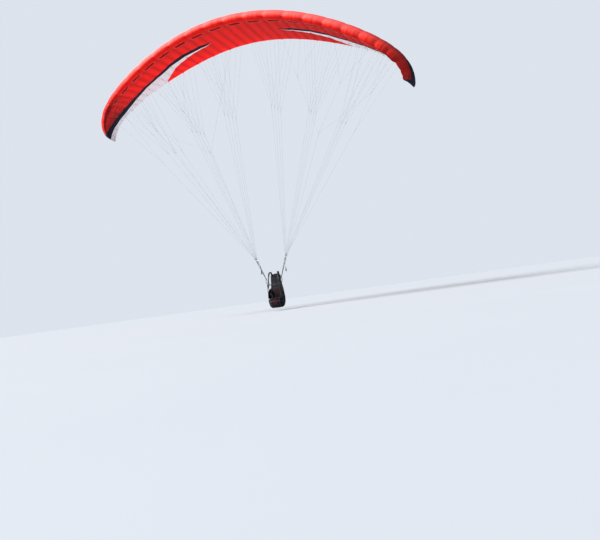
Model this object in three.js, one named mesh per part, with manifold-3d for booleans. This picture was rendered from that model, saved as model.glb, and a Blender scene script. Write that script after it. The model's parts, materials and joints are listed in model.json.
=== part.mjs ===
// A solo paraglider in level flight: a ram-air canopy, its suspension lines, two riser sets with
// brake handles, and an empty seat harness hanging from two carabiners.
// Millimetres, +Z up. The wing flies towards -Y, so +X is the pilot's left and +Y is behind.
// The origin is the point of the centre chord, 30 % back from the nose, where the air carries it.
import * as THREE from "three";
import { mergeVertices } from "three/addons/utils/BufferGeometryUtils.js";
import Module from "manifold-3d";

const wasm = await Module();
wasm.setup();

// Driving dimensions of the canopy
const HALF_SPAN = 5400; // from the centre to a tip, along the arc
const ROOT_CHORD = 2950;
const TIP_CHORD_SHARE = 0.315;
const PLANFORM_POWER = 2.25; // of the superellipse that the chord follows
const SWEEP_SHARE = 0.326; // how far the nose of the tip lies back, as a share of the root chord
const RIG_SLOPE = 0.0915; // the chord rises towards the trailing edge
const TIP_WASHOUT = 0.228; // radians that the tip turns trailing edge outwards
const HANG_SHARE = 0.3; // the pilot hangs under this share of the chord
const ARC_TURN = [
  [1.033, 1],
  [-0.601, 3],
  [1.439, 9],
]; // radians and power of each term of the canopy's arc
const THICKNESS = 0.12;
const CAMBER = 0.045;
const CAMBER_AT = 0.3;
const TRAILING_EDGE_SHARE = 0.0014; // half the thickness that the trailing edge keeps
const PROFILE_STEPS = 11;
const SEAM_GAP = 0.3;

// Cells: where the ribs that carry lines lie, along the arc from the centre
const LOADED_RIBS = [280, 840, 1400, 1950, 2500, 3045, 3550, 4040, 4430, 4810];
const OPEN_CELLS = 8; // on each side; cells further out have a closed nose
const CHAMBER_BULGE = 34; // how far a cell swells out at the nose, half way to its middle rib
const MIDDLE_RIB_BULGE = 42; // the rib in the middle of a cell carries no line and rides up
const SWELL_KEPT = 0.35; // share of the nose's swelling that is left further back
const NOSE_REACH = 0.1; // share of the chord over which the swelling falls to that
const INTAKE = { front: 0.008, rear: 0.05, margin: 24, reach: 60, depth: 70 };
const TIP_STATIONS = [4810, 4960, 5100, 5220, 5310, 5370, 5400];
const TIP_THIN_FROM = 4900; // the tip's profile thins from here out
const TIP_LEAST_THICKNESS = 0.1;

// Suspension: where each row of lines meets the chord, and the loaded ribs, counted from the centre,
// that each of its main lines serves
const HANG_HEIGHT = 7256; // from the origin down to the carabiners' upper bars
const ROWS = [
  { name: "a", chordShare: 0.1, topY: -78, groups: [[0, 1, 2], [3, 4, 5], [6, 7, 8]] },
  { name: "b", chordShare: 0.32, topY: -28, groups: [[0, 1, 2], [3, 4, 5], [6, 7], [8, 9]] },
  { name: "c", chordShare: 0.55, topY: 28, groups: [[0, 1, 2], [3, 4, 5], [6, 7, 8]] },
  { name: "d", chordShare: 0.77, topY: 78, groups: [[0, 1, 2], [3, 4, 5], [6, 7]] },
];
const BRAKE_GROUPS = [[1, 2, 3], [4, 5, 6], [7, 8]];
const KNOT_SHARE = 0.64; // how far up a main line forks
const BRAKE_KNOT_SHARES = [0.58, 0.82];
const MAIN_LINE_RADIUS = 1.1;
const UPPER_LINE_RADIUS = 0.8;
const LINE_SIDES = 5;
const KNOT = { size: 4, pitch: 3, stub: 9 };
const LINE_CLEARANCE = 0.8; // from a line's end to what holds it

// Risers
const CARABINER_X = 210; // half the distance between the two carabiners
const RISER_LENGTH = 600;
const RISER_SPLAY = THREE.MathUtils.degToRad(20);
const RISER_WIDTH = 22;
const RISER_THICKNESS = 2.4;
const RISER_PITCH = 3.2; // between the straps of one set, across their thickness
const RISER_EYE_RADIUS = 15;
const RISER_BORE_RADIUS = 5.8;
const RISER_SEWN_TO = 90; // the four straps lie together up to here
const LINK = { width: 18, height: 36, bar: 4, bite: 5 };

// Brake handles
const PULLEY_AT = 430; // along the rear riser
const PULLEY = { radius: 11, width: 8, tabLength: 24, tabHeight: 12 };
const TOGGLE = { width: 92, height: 128, thickness: 18, frame: 15, drop: 96 };
const BRAKE_CORD_RADIUS = 1.6;

// Carabiners
const CARABINER = { halfWidth: 24, height: 92, bar: 5, corner: 12 };

// Harness, from the carabiners' upper bars
const SEAT = { top: -520, thickness: 30, halfWidth: 175, front: -245, back: 139.5, corner: 40 };
const BACK = { foot: 146, lean: 0.2, thickness: 35, halfWidth: 174, top: 150, topShare: 0.84, corner: 60 };
const SIDE = { thickness: 12 };
const PROTECTOR_SECTIONS = [
  { z: -805, halfWidth: 140, front: -90, back: 180 },
  { z: -792, halfWidth: 172, front: -140, back: 225 },
  { z: -740, halfWidth: 202, front: -198, back: 285 },
  { z: -650, halfWidth: 222, front: -238, back: 340 },
  { z: -560, halfWidth: 226, front: -246, back: 366 },
  { z: -440, halfWidth: 216, front: -246, back: 378 },
  { z: -300, halfWidth: 200, front: -200, back: 380 },
  { z: -180, halfWidth: 182, front: -100, back: 368 },
  { z: -100, halfWidth: 160, front: 0, back: 345 },
  { z: -60, halfWidth: 132, front: 100, back: 312 },
];
const PROTECTOR_SQUARENESS = 3.6; // exponent of the superellipse that each section follows
const PROTECTOR_SIDES = 20;
const STRAP = { width: 42, thickness: 4 };
const LEG_STRAP = { width: 44, thickness: 7 };
const HANG_FEET = [-150, 125]; // where the hang strap's legs end, along Y
const FIT = 0.3; // gap between pieces that touch

const UP = new THREE.Vector3(0, 0, 1);
const ACROSS = new THREE.Vector3(1, 0, 0);
const BACKWARDS = new THREE.Vector3(0, 1, 0);

const fabric = (color) => new THREE.MeshStandardMaterial({ color, roughness: 0.75, metalness: 0 });
const materials = {
  canopy: fabric(0xe0261c),
  tip: fabric(0x1c2340),
  line: fabric(0x8f9aa6),
  webbing: fabric(0x16181d),
  harness: fabric(0x1d1f26),
  lining: fabric(0x5b1a1e),
  handle: fabric(0xc8202c),
  toggle: fabric(0x24262c),
  alloy: new THREE.MeshStandardMaterial({ color: 0x9aa0a6, roughness: 0.35, metalness: 1 }),
};

const paraglider = new THREE.Group();

function add(name, geometry, material, parent = paraglider) {
  const mesh = new THREE.Mesh(geometry, material);
  mesh.name = name;
  parent.add(mesh);
  return mesh;
}

// Solids and cuts
function toSolid(geometry) {
  const bare = geometry.index ? geometry.toNonIndexed() : geometry.clone();
  bare.deleteAttribute("normal");
  bare.deleteAttribute("uv");
  const merged = mergeVertices(bare, 1e-3);
  const vertProperties = merged.attributes.position.array;
  const triVerts = new Uint32Array(merged.index.array);
  return new wasm.Manifold(new wasm.Mesh({ numProp: 3, vertProperties, triVerts }));
}

function toGeometry(solid) {
  const mesh = solid.getMesh();
  const geometry = new THREE.BufferGeometry();
  geometry.setAttribute("position", new THREE.BufferAttribute(new Float32Array(mesh.vertProperties), 3));
  geometry.setIndex(new THREE.BufferAttribute(new Uint32Array(mesh.triVerts), 1));
  return geometry;
}

function join(geometries) {
  return toGeometry(geometries.map(toSolid).reduce((all, next) => all.add(next)));
}

function cut(geometry, tools) {
  return toGeometry(tools.map(toSolid).reduce((all, next) => all.subtract(next), toSolid(geometry)));
}

// A closed solid through rings of points. Each ring has the same count and runs the same way round.
// A cap is a strip between the ring's two halves, so a ring starts and ends at its trailing edge.
function loft(rings) {
  const count = rings[0].length;
  const positions = rings.flatMap((ring) => ring.flatMap((p) => [p.x, p.y, p.z]));
  const index = [];
  for (let r = 0; r + 1 < rings.length; r++) {
    for (let i = 0; i < count; i++) {
      const j = (i + 1) % count;
      const [a, b, c, d] = [r * count + i, r * count + j, (r + 1) * count + i, (r + 1) * count + j];
      index.push(a, c, b, b, c, d);
    }
  }
  for (const [start, flip] of [[0, false], [(rings.length - 1) * count, true]]) {
    for (let i = 0, j = count - 1; i + 1 < j; i++, j--) {
      const faces = [[i, i + 1, j]];
      if (i + 1 < j - 1) faces.push([i + 1, j - 1, j]);
      for (const [p, q, s] of faces) {
        index.push(start + p, start + (flip ? s : q), start + (flip ? q : s));
      }
    }
  }
  const geometry = new THREE.BufferGeometry();
  geometry.setAttribute("position", new THREE.Float32BufferAttribute(positions, 3));
  geometry.setIndex(index);
  return facingOut(geometry);
}

function facingOut(geometry) {
  if (toSolid(geometry).volume() < 0) {
    const index = geometry.index.array;
    for (let i = 0; i < index.length; i += 3) [index[i + 1], index[i + 2]] = [index[i + 2], index[i + 1]];
  }
  return geometry;
}

// A plate of a flat outline, whose own X and Y run along two given directions, centred on its thickness
function plate(shape, thickness, centre, along, upwards, curveSegments = 6) {
  const geometry = new THREE.ExtrudeGeometry(shape, { depth: thickness, bevelEnabled: false, curveSegments });
  geometry.translate(0, 0, -thickness / 2);
  const through = new THREE.Vector3().crossVectors(along, upwards);
  geometry.applyMatrix4(new THREE.Matrix4().makeBasis(along, upwards, through).setPosition(centre));
  return geometry;
}

// A flat strap along a line of points. Its width lies along one direction at its start and turns
// evenly to another at its end.
function strapAlong(path, widthAtStart, width, thickness, widthAtEnd = widthAtStart) {
  const rings = path.map((p, i) => {
    const ahead = path[Math.min(i + 1, path.length - 1)];
    const behind = path[Math.max(i - 1, 0)];
    const run = ahead.clone().sub(behind).normalize();
    const side = widthAtStart.clone().lerp(widthAtEnd, i / (path.length - 1));
    side.addScaledVector(run, -side.dot(run)).normalize();
    const out = new THREE.Vector3().crossVectors(run, side).multiplyScalar(thickness / 2);
    side.multiplyScalar(width / 2);
    return [[1, 1], [-1, 1], [-1, -1], [1, -1]].map(([a, b]) =>
      p.clone().addScaledVector(side, a).addScaledVector(out, b),
    );
  });
  return loft(rings);
}

// A line as a thin tube. Short stubs at its ends keep the faces clean where it joins a knot.
function lineTube(from, to, radius, endsInKnot) {
  const run = to.clone().sub(from);
  const length = run.length();
  run.normalize();
  const side = new THREE.Vector3().crossVectors(run, BACKWARDS).normalize();
  const other = new THREE.Vector3().crossVectors(run, side);
  const places = endsInKnot ? [0, KNOT.stub, length - KNOT.stub, length] : [0, KNOT.stub, length];
  const rings = places.map((place) =>
    Array.from({ length: LINE_SIDES }, (_, i) => {
      const angle = (2 * Math.PI * i) / LINE_SIDES;
      return from.clone()
        .addScaledVector(run, place)
        .addScaledVector(side, radius * Math.cos(angle))
        .addScaledVector(other, radius * Math.sin(angle));
    }),
  );
  return loft(rings);
}

function rod(from, to, radius, sides) {
  const length = from.distanceTo(to);
  const geometry = new THREE.CylinderGeometry(radius, radius, length, sides);
  geometry.applyQuaternion(
    new THREE.Quaternion().setFromUnitVectors(BACKWARDS, to.clone().sub(from).normalize()),
  );
  geometry.translate(...from.clone().lerp(to, 0.5).toArray());
  return geometry;
}

const vector = (x, y, z) => new THREE.Vector3(x, y, z);

// Points along a smooth curve through a few points
function smooth(points, count) {
  return new THREE.CatmullRomCurve3(points.map((p) => vector(...p))).getPoints(count);
}

// The canopy's arc: place and tilt of each station, worked out once in small steps
const ARC_STEP = 10;
const arcTable = [{ x: 0, z: 0 }];
const tiltAt = (share) => ARC_TURN.reduce((sum, [turn, power]) => sum + turn * share ** power, 0);
for (let arc = 0; arc < HALF_SPAN; arc += ARC_STEP) {
  const tilt = tiltAt((arc + ARC_STEP / 2) / HALF_SPAN);
  const last = arcTable[arcTable.length - 1];
  arcTable.push({ x: last.x + ARC_STEP * Math.cos(tilt), z: last.z - ARC_STEP * Math.sin(tilt) });
}

function station(arc) {
  const side = Math.sign(arc) || 1;
  const share = Math.min(Math.abs(arc) / HALF_SPAN, 1);
  const place = (share * HALF_SPAN) / ARC_STEP;
  const low = Math.min(Math.floor(place), arcTable.length - 2);
  const blend = place - low;
  const x = arcTable[low].x + blend * (arcTable[low + 1].x - arcTable[low].x);
  const z = arcTable[low].z + blend * (arcTable[low + 1].z - arcTable[low].z);
  const ellipse = Math.max(1 - (0.999 * share) ** PLANFORM_POWER, 0) ** (1 / PLANFORM_POWER);
  return {
    x: side * x,
    z,
    tilt: side * tiltAt(share),
    chord: ROOT_CHORD * (TIP_CHORD_SHARE + (1 - TIP_CHORD_SHARE) * ellipse),
    noseY: SWEEP_SHARE * ROOT_CHORD * (1 - Math.sqrt(1 - 0.97 * share ** 2)) - HANG_SHARE * ROOT_CHORD,
    washout: TIP_WASHOUT * share ** 3,
  };
}

// A point in the plane of a rib: along the chord and away from it, both in millimetres
function ribPoint(at, along, away) {
  const rise = away + at.washout * (along - HANG_SHARE * at.chord);
  const y = at.noseY + along;
  return vector(at.x + rise * Math.sin(at.tilt), y, at.z + rise * Math.cos(at.tilt) + RIG_SLOPE * y);
}

// The profile as shares of the chord
function profile(share) {
  const half =
    5 * THICKNESS *
      (0.2969 * Math.sqrt(share) - 0.126 * share - 0.3516 * share ** 2 + 0.2843 * share ** 3 - 0.1036 * share ** 4) +
    TRAILING_EDGE_SHARE * share;
  const camber =
    share < CAMBER_AT
      ? (CAMBER / CAMBER_AT ** 2) * (2 * CAMBER_AT * share - share ** 2)
      : (CAMBER / (1 - CAMBER_AT) ** 2) * (1 - 2 * CAMBER_AT + 2 * CAMBER_AT * share - share ** 2);
  return { upper: camber + half, lower: camber - half, camber };
}

// A closed ring of the profile at one station, swollen by the air, from the upper trailing edge
// round the nose to the lower trailing edge
function profileRing(arc, bulge, thinning = 1) {
  const at = station(arc);
  const flat = [];
  for (let i = PROFILE_STEPS; i >= -PROFILE_STEPS; i--) {
    const share = 0.5 * (1 - Math.cos((Math.PI * Math.abs(i)) / PROFILE_STEPS));
    const { upper, lower, camber } = profile(share);
    const height = camber + ((i >= 0 ? upper : lower) - camber) * thinning;
    flat.push({ along: share * at.chord, away: height * at.chord, share });
  }
  return flat.map((p, i) => {
    const before = flat[Math.max(i - 1, 0)];
    const after = flat[Math.min(i + 1, flat.length - 1)];
    const [run, rise] = [after.along - before.along, after.away - before.away];
    const length = Math.hypot(run, rise);
    const nose = SWELL_KEPT + (1 - SWELL_KEPT) * Math.exp(-((p.share / NOSE_REACH) ** 2));
    const swell = bulge * nose * (1 - p.share ** 3);
    return ribPoint(at, p.along + (swell * rise) / length, p.away - (swell * run) / length);
  });
}

// An intake: the open mouth under the nose of one cell, as a tool that cuts it
function intakeTool(from, to) {
  const rings = [from, to].map((arc) => {
    const at = station(arc);
    const [front, rear] = [INTAKE.front, INTAKE.rear].map((share) =>
      new THREE.Vector2(share, profile(share).lower).multiplyScalar(at.chord),
    );
    const lip = rear.clone().sub(front).normalize();
    const inwards = new THREE.Vector2(-lip.y, lip.x);
    const corners = [
      front.clone().addScaledVector(inwards, -INTAKE.reach),
      front.clone().addScaledVector(inwards, INTAKE.depth),
      rear.clone().addScaledVector(inwards, INTAKE.depth),
      rear.clone().addScaledVector(inwards, -INTAKE.reach),
    ];
    return corners.map((p) => ribPoint(at, p.x, p.y));
  });
  return loft(rings);
}

// One cell: two chambers between ribs that carry lines
function cell(from, to, hasIntakes) {
  const middle = (from + to) / 2;
  const half = (to - from) / 2 - SEAM_GAP / 2;
  const bulges = [0, CHAMBER_BULGE, MIDDLE_RIB_BULGE, CHAMBER_BULGE, 0];
  const body = loft(bulges.map((bulge, i) => profileRing(middle + half * (i / 2 - 1), bulge)));
  if (!hasIntakes) return body;
  return cut(body, [intakeTool(from + INTAKE.margin, to - INTAKE.margin)]);
}

function wingTip(side) {
  const rings = TIP_STATIONS.map((arc, i) => {
    const out = THREE.MathUtils.clamp((arc - TIP_THIN_FROM) / (HALF_SPAN - TIP_THIN_FROM), 0, 1);
    const thinning = Math.max(Math.sqrt(1 - out ** 2), TIP_LEAST_THICKNESS);
    return profileRing(side * (i === 0 ? arc + SEAM_GAP / 2 : arc), 0, thinning);
  });
  return loft(rings);
}

function buildCanopy() {
  add("canopy_cell_center", cell(-LOADED_RIBS[0], LOADED_RIBS[0], true), materials.canopy);
  for (const [side, word] of [[1, "left"], [-1, "right"]]) {
    for (let i = 0; i + 1 < LOADED_RIBS.length; i++) {
      const ribs = [side * LOADED_RIBS[i], side * LOADED_RIBS[i + 1]].sort((a, b) => a - b);
      add(`canopy_cell_${word}_${i + 1}`, cell(...ribs, i < OPEN_CELLS), materials.canopy);
    }
    add(`canopy_tip_${word}`, wingTip(side), materials.tip);
  }
}

// Where a line meets the underside of a loaded rib
function underside(side, rib, chordShare) {
  const at = station(side * LOADED_RIBS[rib]);
  return ribPoint(at, chordShare * at.chord, profile(chordShare).lower * at.chord);
}

const middleOf = (points) =>
  points.reduce((sum, p) => sum.add(p), vector(0, 0, 0)).multiplyScalar(1 / points.length);

const shortOf = (from, to, gap) => to.clone().addScaledVector(to.clone().sub(from).normalize(), -gap);

// A fork: a sewn knot on a line that comes from below, and a line from it to each of its ends
function fork(from, knot, ends, radius, stop = LINE_CLEARANCE) {
  const run = knot.clone().sub(from).normalize();
  const spread = ends[ends.length - 1].clone().sub(ends[0]);
  spread.addScaledVector(run, -spread.dot(run)).normalize();
  const size = [ends.length * KNOT.pitch + 1, KNOT.size, KNOT.size];
  const block = new THREE.BoxGeometry(...size).applyMatrix4(
    new THREE.Matrix4().makeBasis(spread, run, new THREE.Vector3().crossVectors(spread, run)).setPosition(knot),
  );
  const lines = ends.map((end, i) => {
    const root = knot.clone().addScaledVector(spread, (i - (ends.length - 1) / 2) * KNOT.pitch);
    return lineTube(root, shortOf(root, end, stop), radius, stop === 0);
  });
  return [block, ...lines];
}

function riserFrame(side) {
  const foot = vector(side * CARABINER_X, 0, -HANG_HEIGHT);
  const along = vector(side * Math.sin(RISER_SPLAY), 0, Math.cos(RISER_SPLAY));
  const across = vector(Math.cos(RISER_SPLAY), 0, -side * Math.sin(RISER_SPLAY));
  return { foot, along, across };
}

const rowOffset = (index) => (index - (ROWS.length - 1) / 2) * RISER_PITCH;

function riserPoint(frame, index, length, y) {
  return frame.foot.clone()
    .addScaledVector(frame.along, length)
    .addScaledVector(frame.across, rowOffset(index))
    .addScaledVector(BACKWARDS, y);
}

function buildLines(side, word) {
  const frame = riserFrame(side);
  ROWS.forEach((row, index) => {
    const foot = RISER_LENGTH + LINK.height - LINK.bite + KNOT.size / 2 + FIT;
    const start = riserPoint(frame, index, foot, row.topY);
    const groups = row.groups.map((group) => group.map((rib) => underside(side, rib, row.chordShare)));
    const knots = groups.map((ends) => start.clone().lerp(middleOf(ends), KNOT_SHARE));
    const below = start.clone().sub(frame.along);
    const pieces = fork(below, start, knots, MAIN_LINE_RADIUS, 0);
    groups.forEach((ends, i) => pieces.push(...fork(start, knots[i], ends, UPPER_LINE_RADIUS)));
    add(`lines_${row.name}_${word}`, join(pieces), materials.line);
  });
}

// Brake line: one main line from the pulley, which forks twice on its way to the trailing edge
function buildBrakeLines(side, word) {
  const start = brakeCordTop(side).add(vector(0, 0, 3 * FIT));
  const groups = BRAKE_GROUPS.map((group) => group.map((rib) => underside(side, rib, 1)));
  const knot = start.clone().lerp(middleOf(groups.flat()), BRAKE_KNOT_SHARES[0]);
  const uppers = groups.map((ends) => start.clone().lerp(middleOf(ends), BRAKE_KNOT_SHARES[1]));
  const pieces = [lineTube(start, knot, MAIN_LINE_RADIUS, true)];
  pieces.push(...fork(start, knot, uppers, UPPER_LINE_RADIUS, 0));
  groups.forEach((ends, i) => pieces.push(...fork(knot, uppers[i], ends, UPPER_LINE_RADIUS)));
  add(`lines_brake_${word}`, join(pieces), materials.line);
}

// The oval quick link that ties lines to the top of a riser
function linkOutline() {
  const { width, height, bar } = LINK;
  const stadium = (path, inset) => {
    const radius = width / 2 - inset;
    const reach = height / 2 - width / 2;
    path.absarc(0, reach, radius, 0, Math.PI, false);
    path.absarc(0, -reach, radius, Math.PI, 2 * Math.PI, false);
    return path;
  };
  const shape = stadium(new THREE.Shape(), 0);
  shape.holes.push(stadium(new THREE.Path(), bar));
  return shape;
}

function buildRisers(side, word) {
  const frame = riserFrame(side);
  const bore = rod(
    frame.foot.clone().add(vector(-40, 0, 0)),
    frame.foot.clone().add(vector(40, 0, 0)),
    RISER_BORE_RADIUS,
    12,
  );
  ROWS.forEach((row, index) => {
    const sewnY = row.topY / 10;
    const path = [
      riserPoint(frame, index, 0, 0),
      riserPoint(frame, index, RISER_SEWN_TO, sewnY),
      riserPoint(frame, index, RISER_LENGTH, row.topY),
    ];
    const eye = new THREE.Shape().absarc(0, 0, RISER_EYE_RADIUS, 0, 2 * Math.PI, false);
    const linkCentre = riserPoint(frame, index, RISER_LENGTH + LINK.height / 2 - LINK.bite, row.topY);
    const pieces = [
      strapAlong(path, BACKWARDS, RISER_WIDTH, RISER_THICKNESS),
      plate(eye, RISER_THICKNESS, path[0], BACKWARDS, frame.along, 5),
      plate(linkOutline(), LINK.bar * 0.7, linkCentre, BACKWARDS, frame.along, 4),
    ];
    add(`riser_${row.name}_${word}`, cut(join(pieces), [bore]), materials.webbing);
  });
}

function rearRiserEdge(side, length) {
  const frame = riserFrame(side);
  const row = ROWS.length - 1;
  const sewnY = ROWS[row].topY / 10;
  const share = (length - RISER_SEWN_TO) / (RISER_LENGTH - RISER_SEWN_TO);
  const centre = riserPoint(frame, row, length, sewnY + share * (ROWS[row].topY - sewnY));
  const lean = Math.atan((ROWS[row].topY - sewnY) / (RISER_LENGTH - RISER_SEWN_TO));
  return centre.add(vector(0, RISER_WIDTH / 2 / Math.cos(lean), 0));
}

function pulleyCentre(side) {
  return rearRiserEdge(side, PULLEY_AT).add(vector(0, PULLEY.tabLength + FIT, 0));
}

function brakeCordTop(side) {
  return pulleyCentre(side).add(vector(0, PULLEY.radius + BRAKE_CORD_RADIUS + FIT, 0));
}

function buildBrakeHandle(side, word) {
  const centre = pulleyCentre(side);
  const frame = riserFrame(side);
  const wheel = rod(
    centre.clone().addScaledVector(frame.across, -PULLEY.width / 2),
    centre.clone().addScaledVector(frame.across, PULLEY.width / 2),
    PULLEY.radius,
    12,
  );
  const edge = rearRiserEdge(side, PULLEY_AT).add(vector(0, FIT + 2, 0));
  const tab = strapAlong([edge, centre], frame.along, PULLEY.tabHeight, RISER_THICKNESS);
  add(`brake_pulley_${word}`, join([wheel, tab]), materials.alloy);

  const cordTop = brakeCordTop(side);
  const cordFoot = cordTop.clone().add(vector(0, 0, -TOGGLE.drop));
  add(`brake_cord_${word}`, rod(cordTop, cordFoot, BRAKE_CORD_RADIUS, 8), materials.line);

  const { width, height, frame: bar } = TOGGLE;
  const outline = (path, inset) => {
    const foot = 26 - inset / 2;
    const half = width / 2 - inset;
    path.moveTo(-10 + inset / 3, -inset);
    path.quadraticCurveTo(-half * 0.75, -height * 0.35, -half, -height + foot + inset);
    path.quadraticCurveTo(-half, -height + inset, -half + foot, -height + inset);
    path.lineTo(half - foot, -height + inset);
    path.quadraticCurveTo(half, -height + inset, half, -height + foot + inset);
    path.quadraticCurveTo(half * 0.75, -height * 0.35, 10 - inset / 3, -inset);
    path.closePath();
    return path;
  };
  const shape = outline(new THREE.Shape(), 0);
  shape.holes.push(outline(new THREE.Path(), bar));
  const top = cordFoot.clone().add(vector(0, 0, -FIT));
  add(`brake_toggle_${word}`, plate(shape, TOGGLE.thickness, top, BACKWARDS, UP, 4), materials.toggle);
}

// Carabiner: a closed loop of round bar, in the plane across the flight, hanging from the risers
function buildCarabiner(side, word, harness) {
  const { halfWidth, height, corner, bar } = CARABINER;
  const path = new THREE.CurvePath();
  const centre = side * CARABINER_X;
  const corners = [
    [centre + halfWidth, 0],
    [centre + halfWidth, -height],
    [centre - halfWidth, -height],
    [centre - halfWidth, 0],
  ].map(([x, z]) => vector(x, 0, z));
  corners.forEach((p, i) => {
    const before = corners[(i + 3) % 4];
    const after = corners[(i + 1) % 4];
    const enter = p.clone().add(before.clone().sub(p).setLength(corner));
    const leave = p.clone().add(after.clone().sub(p).setLength(corner));
    const arrive = after.clone().add(p.clone().sub(after).setLength(corner));
    path.add(new THREE.QuadraticBezierCurve3(enter, p, leave));
    path.add(new THREE.LineCurve3(leave, arrive));
  });
  const sides = 10;
  const rings = [];
  for (const curve of path.curves) {
    const steps = curve.isQuadraticBezierCurve3 ? 3 : 1;
    for (let i = 0; i < steps; i++) {
      const place = curve.getPoint(i / steps);
      const run = curve.getTangent(i / steps);
      const out = new THREE.Vector3().crossVectors(run, BACKWARDS).normalize();
      rings.push(
        Array.from({ length: sides }, (_, k) => {
          const angle = (2 * Math.PI * k) / sides;
          return place.clone()
            .addScaledVector(out, bar * Math.cos(angle))
            .addScaledVector(BACKWARDS, bar * Math.sin(angle));
        }),
      );
    }
  }
  add(`carabiner_${word}`, closedTube(rings), materials.alloy, harness);
}

// A tube whose last ring joins its first
function closedTube(rings) {
  const count = rings[0].length;
  const positions = rings.flatMap((ring) => ring.flatMap((p) => [p.x, p.y, p.z]));
  const index = [];
  rings.forEach((_, r) => {
    const next = (r + 1) % rings.length;
    for (let i = 0; i < count; i++) {
      const j = (i + 1) % count;
      const [a, b, c, d] = [r * count + i, r * count + j, next * count + i, next * count + j];
      index.push(a, c, b, b, c, d);
    }
  });
  const geometry = new THREE.BufferGeometry();
  geometry.setAttribute("position", new THREE.Float32BufferAttribute(positions, 3));
  geometry.setIndex(index);
  return facingOut(geometry);
}

// Outline with rounded corners, from a list of [x, y, corner radius]
function roundedOutline(corners) {
  const shape = new THREE.Shape();
  corners.forEach(([x, y, radius], i) => {
    const p = new THREE.Vector2(x, y);
    const toward = (q) => new THREE.Vector2(q[0], q[1]).sub(p).setLength(radius).add(p);
    const enter = toward(corners[(i + corners.length - 1) % corners.length]);
    const leave = toward(corners[(i + 1) % corners.length]);
    if (i === 0) shape.moveTo(enter.x, enter.y);
    else shape.lineTo(enter.x, enter.y);
    if (radius > 0) shape.quadraticCurveTo(x, y, leave.x, leave.y);
  });
  shape.closePath();
  return shape;
}

const backFace = (z) => BACK.foot + BACK.lean * (z - SEAT.top);

function buildSeat(harness) {
  const { top, thickness, halfWidth, front, back, corner } = SEAT;
  const outline = roundedOutline([
    [-halfWidth, front, corner],
    [halfWidth, front, corner],
    [halfWidth, back, 6],
    [-halfWidth, back, 6],
  ]);
  const seat = plate(outline, thickness, vector(0, 0, top - thickness / 2), ACROSS, BACKWARDS, 4);
  add("harness_seat", seat, materials.harness, harness);
}

const seatUnder = SEAT.top - SEAT.thickness;

function buildBack(harness) {
  const { halfWidth, top, topShare, corner, thickness, foot, lean } = BACK;
  const outline = roundedOutline([
    [-halfWidth, seatUnder, 4],
    [halfWidth, seatUnder, 4],
    [halfWidth * topShare, top, corner],
    [-halfWidth * topShare, top, corner],
  ]);
  const back = plate(outline, thickness, vector(0, foot + thickness / 2, 0), ACROSS, UP, 4);
  const leaning = new THREE.Matrix4().makeShear(0, 0, 0, 0, 0, lean);
  back.applyMatrix4(leaning).translate(0, -lean * SEAT.top, 0);
  add("harness_back", back, materials.harness, harness);
}

// The padded body behind and below the seat: level sections, cut out for the seat and the back
function buildProtector(harness) {
  const under = seatUnder - FIT;
  const rear = (z) => backFace(z) + BACK.thickness + FIT;
  const rings = PROTECTOR_SECTIONS.map(({ z, halfWidth, front, back }) =>
    Array.from({ length: PROTECTOR_SIDES }, (_, i) => {
      const angle = (2 * Math.PI * (i + 0.5)) / PROTECTOR_SIDES;
      const [c, s] = [Math.cos(angle), Math.sin(angle)].map(
        (value) => Math.sign(value) * Math.abs(value) ** (2 / PROTECTOR_SQUARENESS),
      );
      return vector(halfWidth * s, (front + back) / 2 + ((back - front) / 2) * c, z);
    }),
  );
  const space = new THREE.Shape();
  space.moveTo(-600, under);
  space.lineTo(rear(under), under);
  space.lineTo(rear(200), 200);
  space.lineTo(-600, 200);
  const tool = plate(space, 1000, vector(0, 0, 0), BACKWARDS, UP);
  add("harness_protector", cut(loft(rings), [tool]), materials.harness, harness);
}

function buildSide(side, word, harness) {
  const rear = (z) => backFace(z) + BACK.thickness - 3;
  const foot = SEAT.top - 14;
  const outline = roundedOutline([
    [SEAT.front + 38, foot, 20],
    [rear(foot), foot, 4],
    [rear(-240), -240, 30],
    [-10, -290, 60],
    [-165, -370, 50],
    [SEAT.front + 28, foot + 70, 30],
  ]);
  const centre = vector(side * (SEAT.halfWidth + FIT + SIDE.thickness / 2), 0, 0);
  add(`harness_side_${word}`, plate(outline, SIDE.thickness, centre, BACKWARDS, UP, 3), materials.harness, harness);
}

// Main webbing: a loop on the carabiner's lower bar and two legs to the seat
const hangFootX = SEAT.halfWidth + FIT + SIDE.thickness + 4 * FIT + STRAP.thickness / 2;

function buildHangStrap(side, word, harness) {
  const bar = vector(side * CARABINER_X, 0, -CARABINER.height);
  const ring = new THREE.Shape().absarc(0, 0, 13, 0, 2 * Math.PI, false);
  const loop = plate(ring, 16, bar, BACKWARDS, UP, 6);
  const hole = rod(bar.clone().add(vector(-30, 0, 0)), bar.clone().add(vector(30, 0, 0)), CARABINER.bar + 0.4, 12);
  const start = bar.clone().add(vector(0, 0, -8));
  const legs = HANG_FEET.map((y) => {
    const foot = vector(side * hangFootX, y, SEAT.top + 10);
    const knee = vector(side * hangFootX, y * 0.88, SEAT.top + 80);
    return strapAlong([start, knee, foot], BACKWARDS, STRAP.width, STRAP.thickness);
  });
  add(`hang_strap_${word}`, cut(join([loop, ...legs]), [hole]), materials.webbing, harness);
}

function buildShoulderStrap(side, word, harness) {
  const topY = backFace(96) - 5;
  const path = smooth(
    [
      [side * 100, topY, 96],
      [side * 104, topY - 26, 165],
      [side * 112, 150, 212],
      [side * 126, 30, 172],
      [side * 140, -50, 40],
      [side * 154, -62, -90],
      [side * 172.6, -60, -240],
    ],
    14,
  );
  const strap = strapAlong(path, ACROSS, 46, 9);
  add(`shoulder_strap_${word}`, strap, materials.webbing, harness);
}

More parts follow.
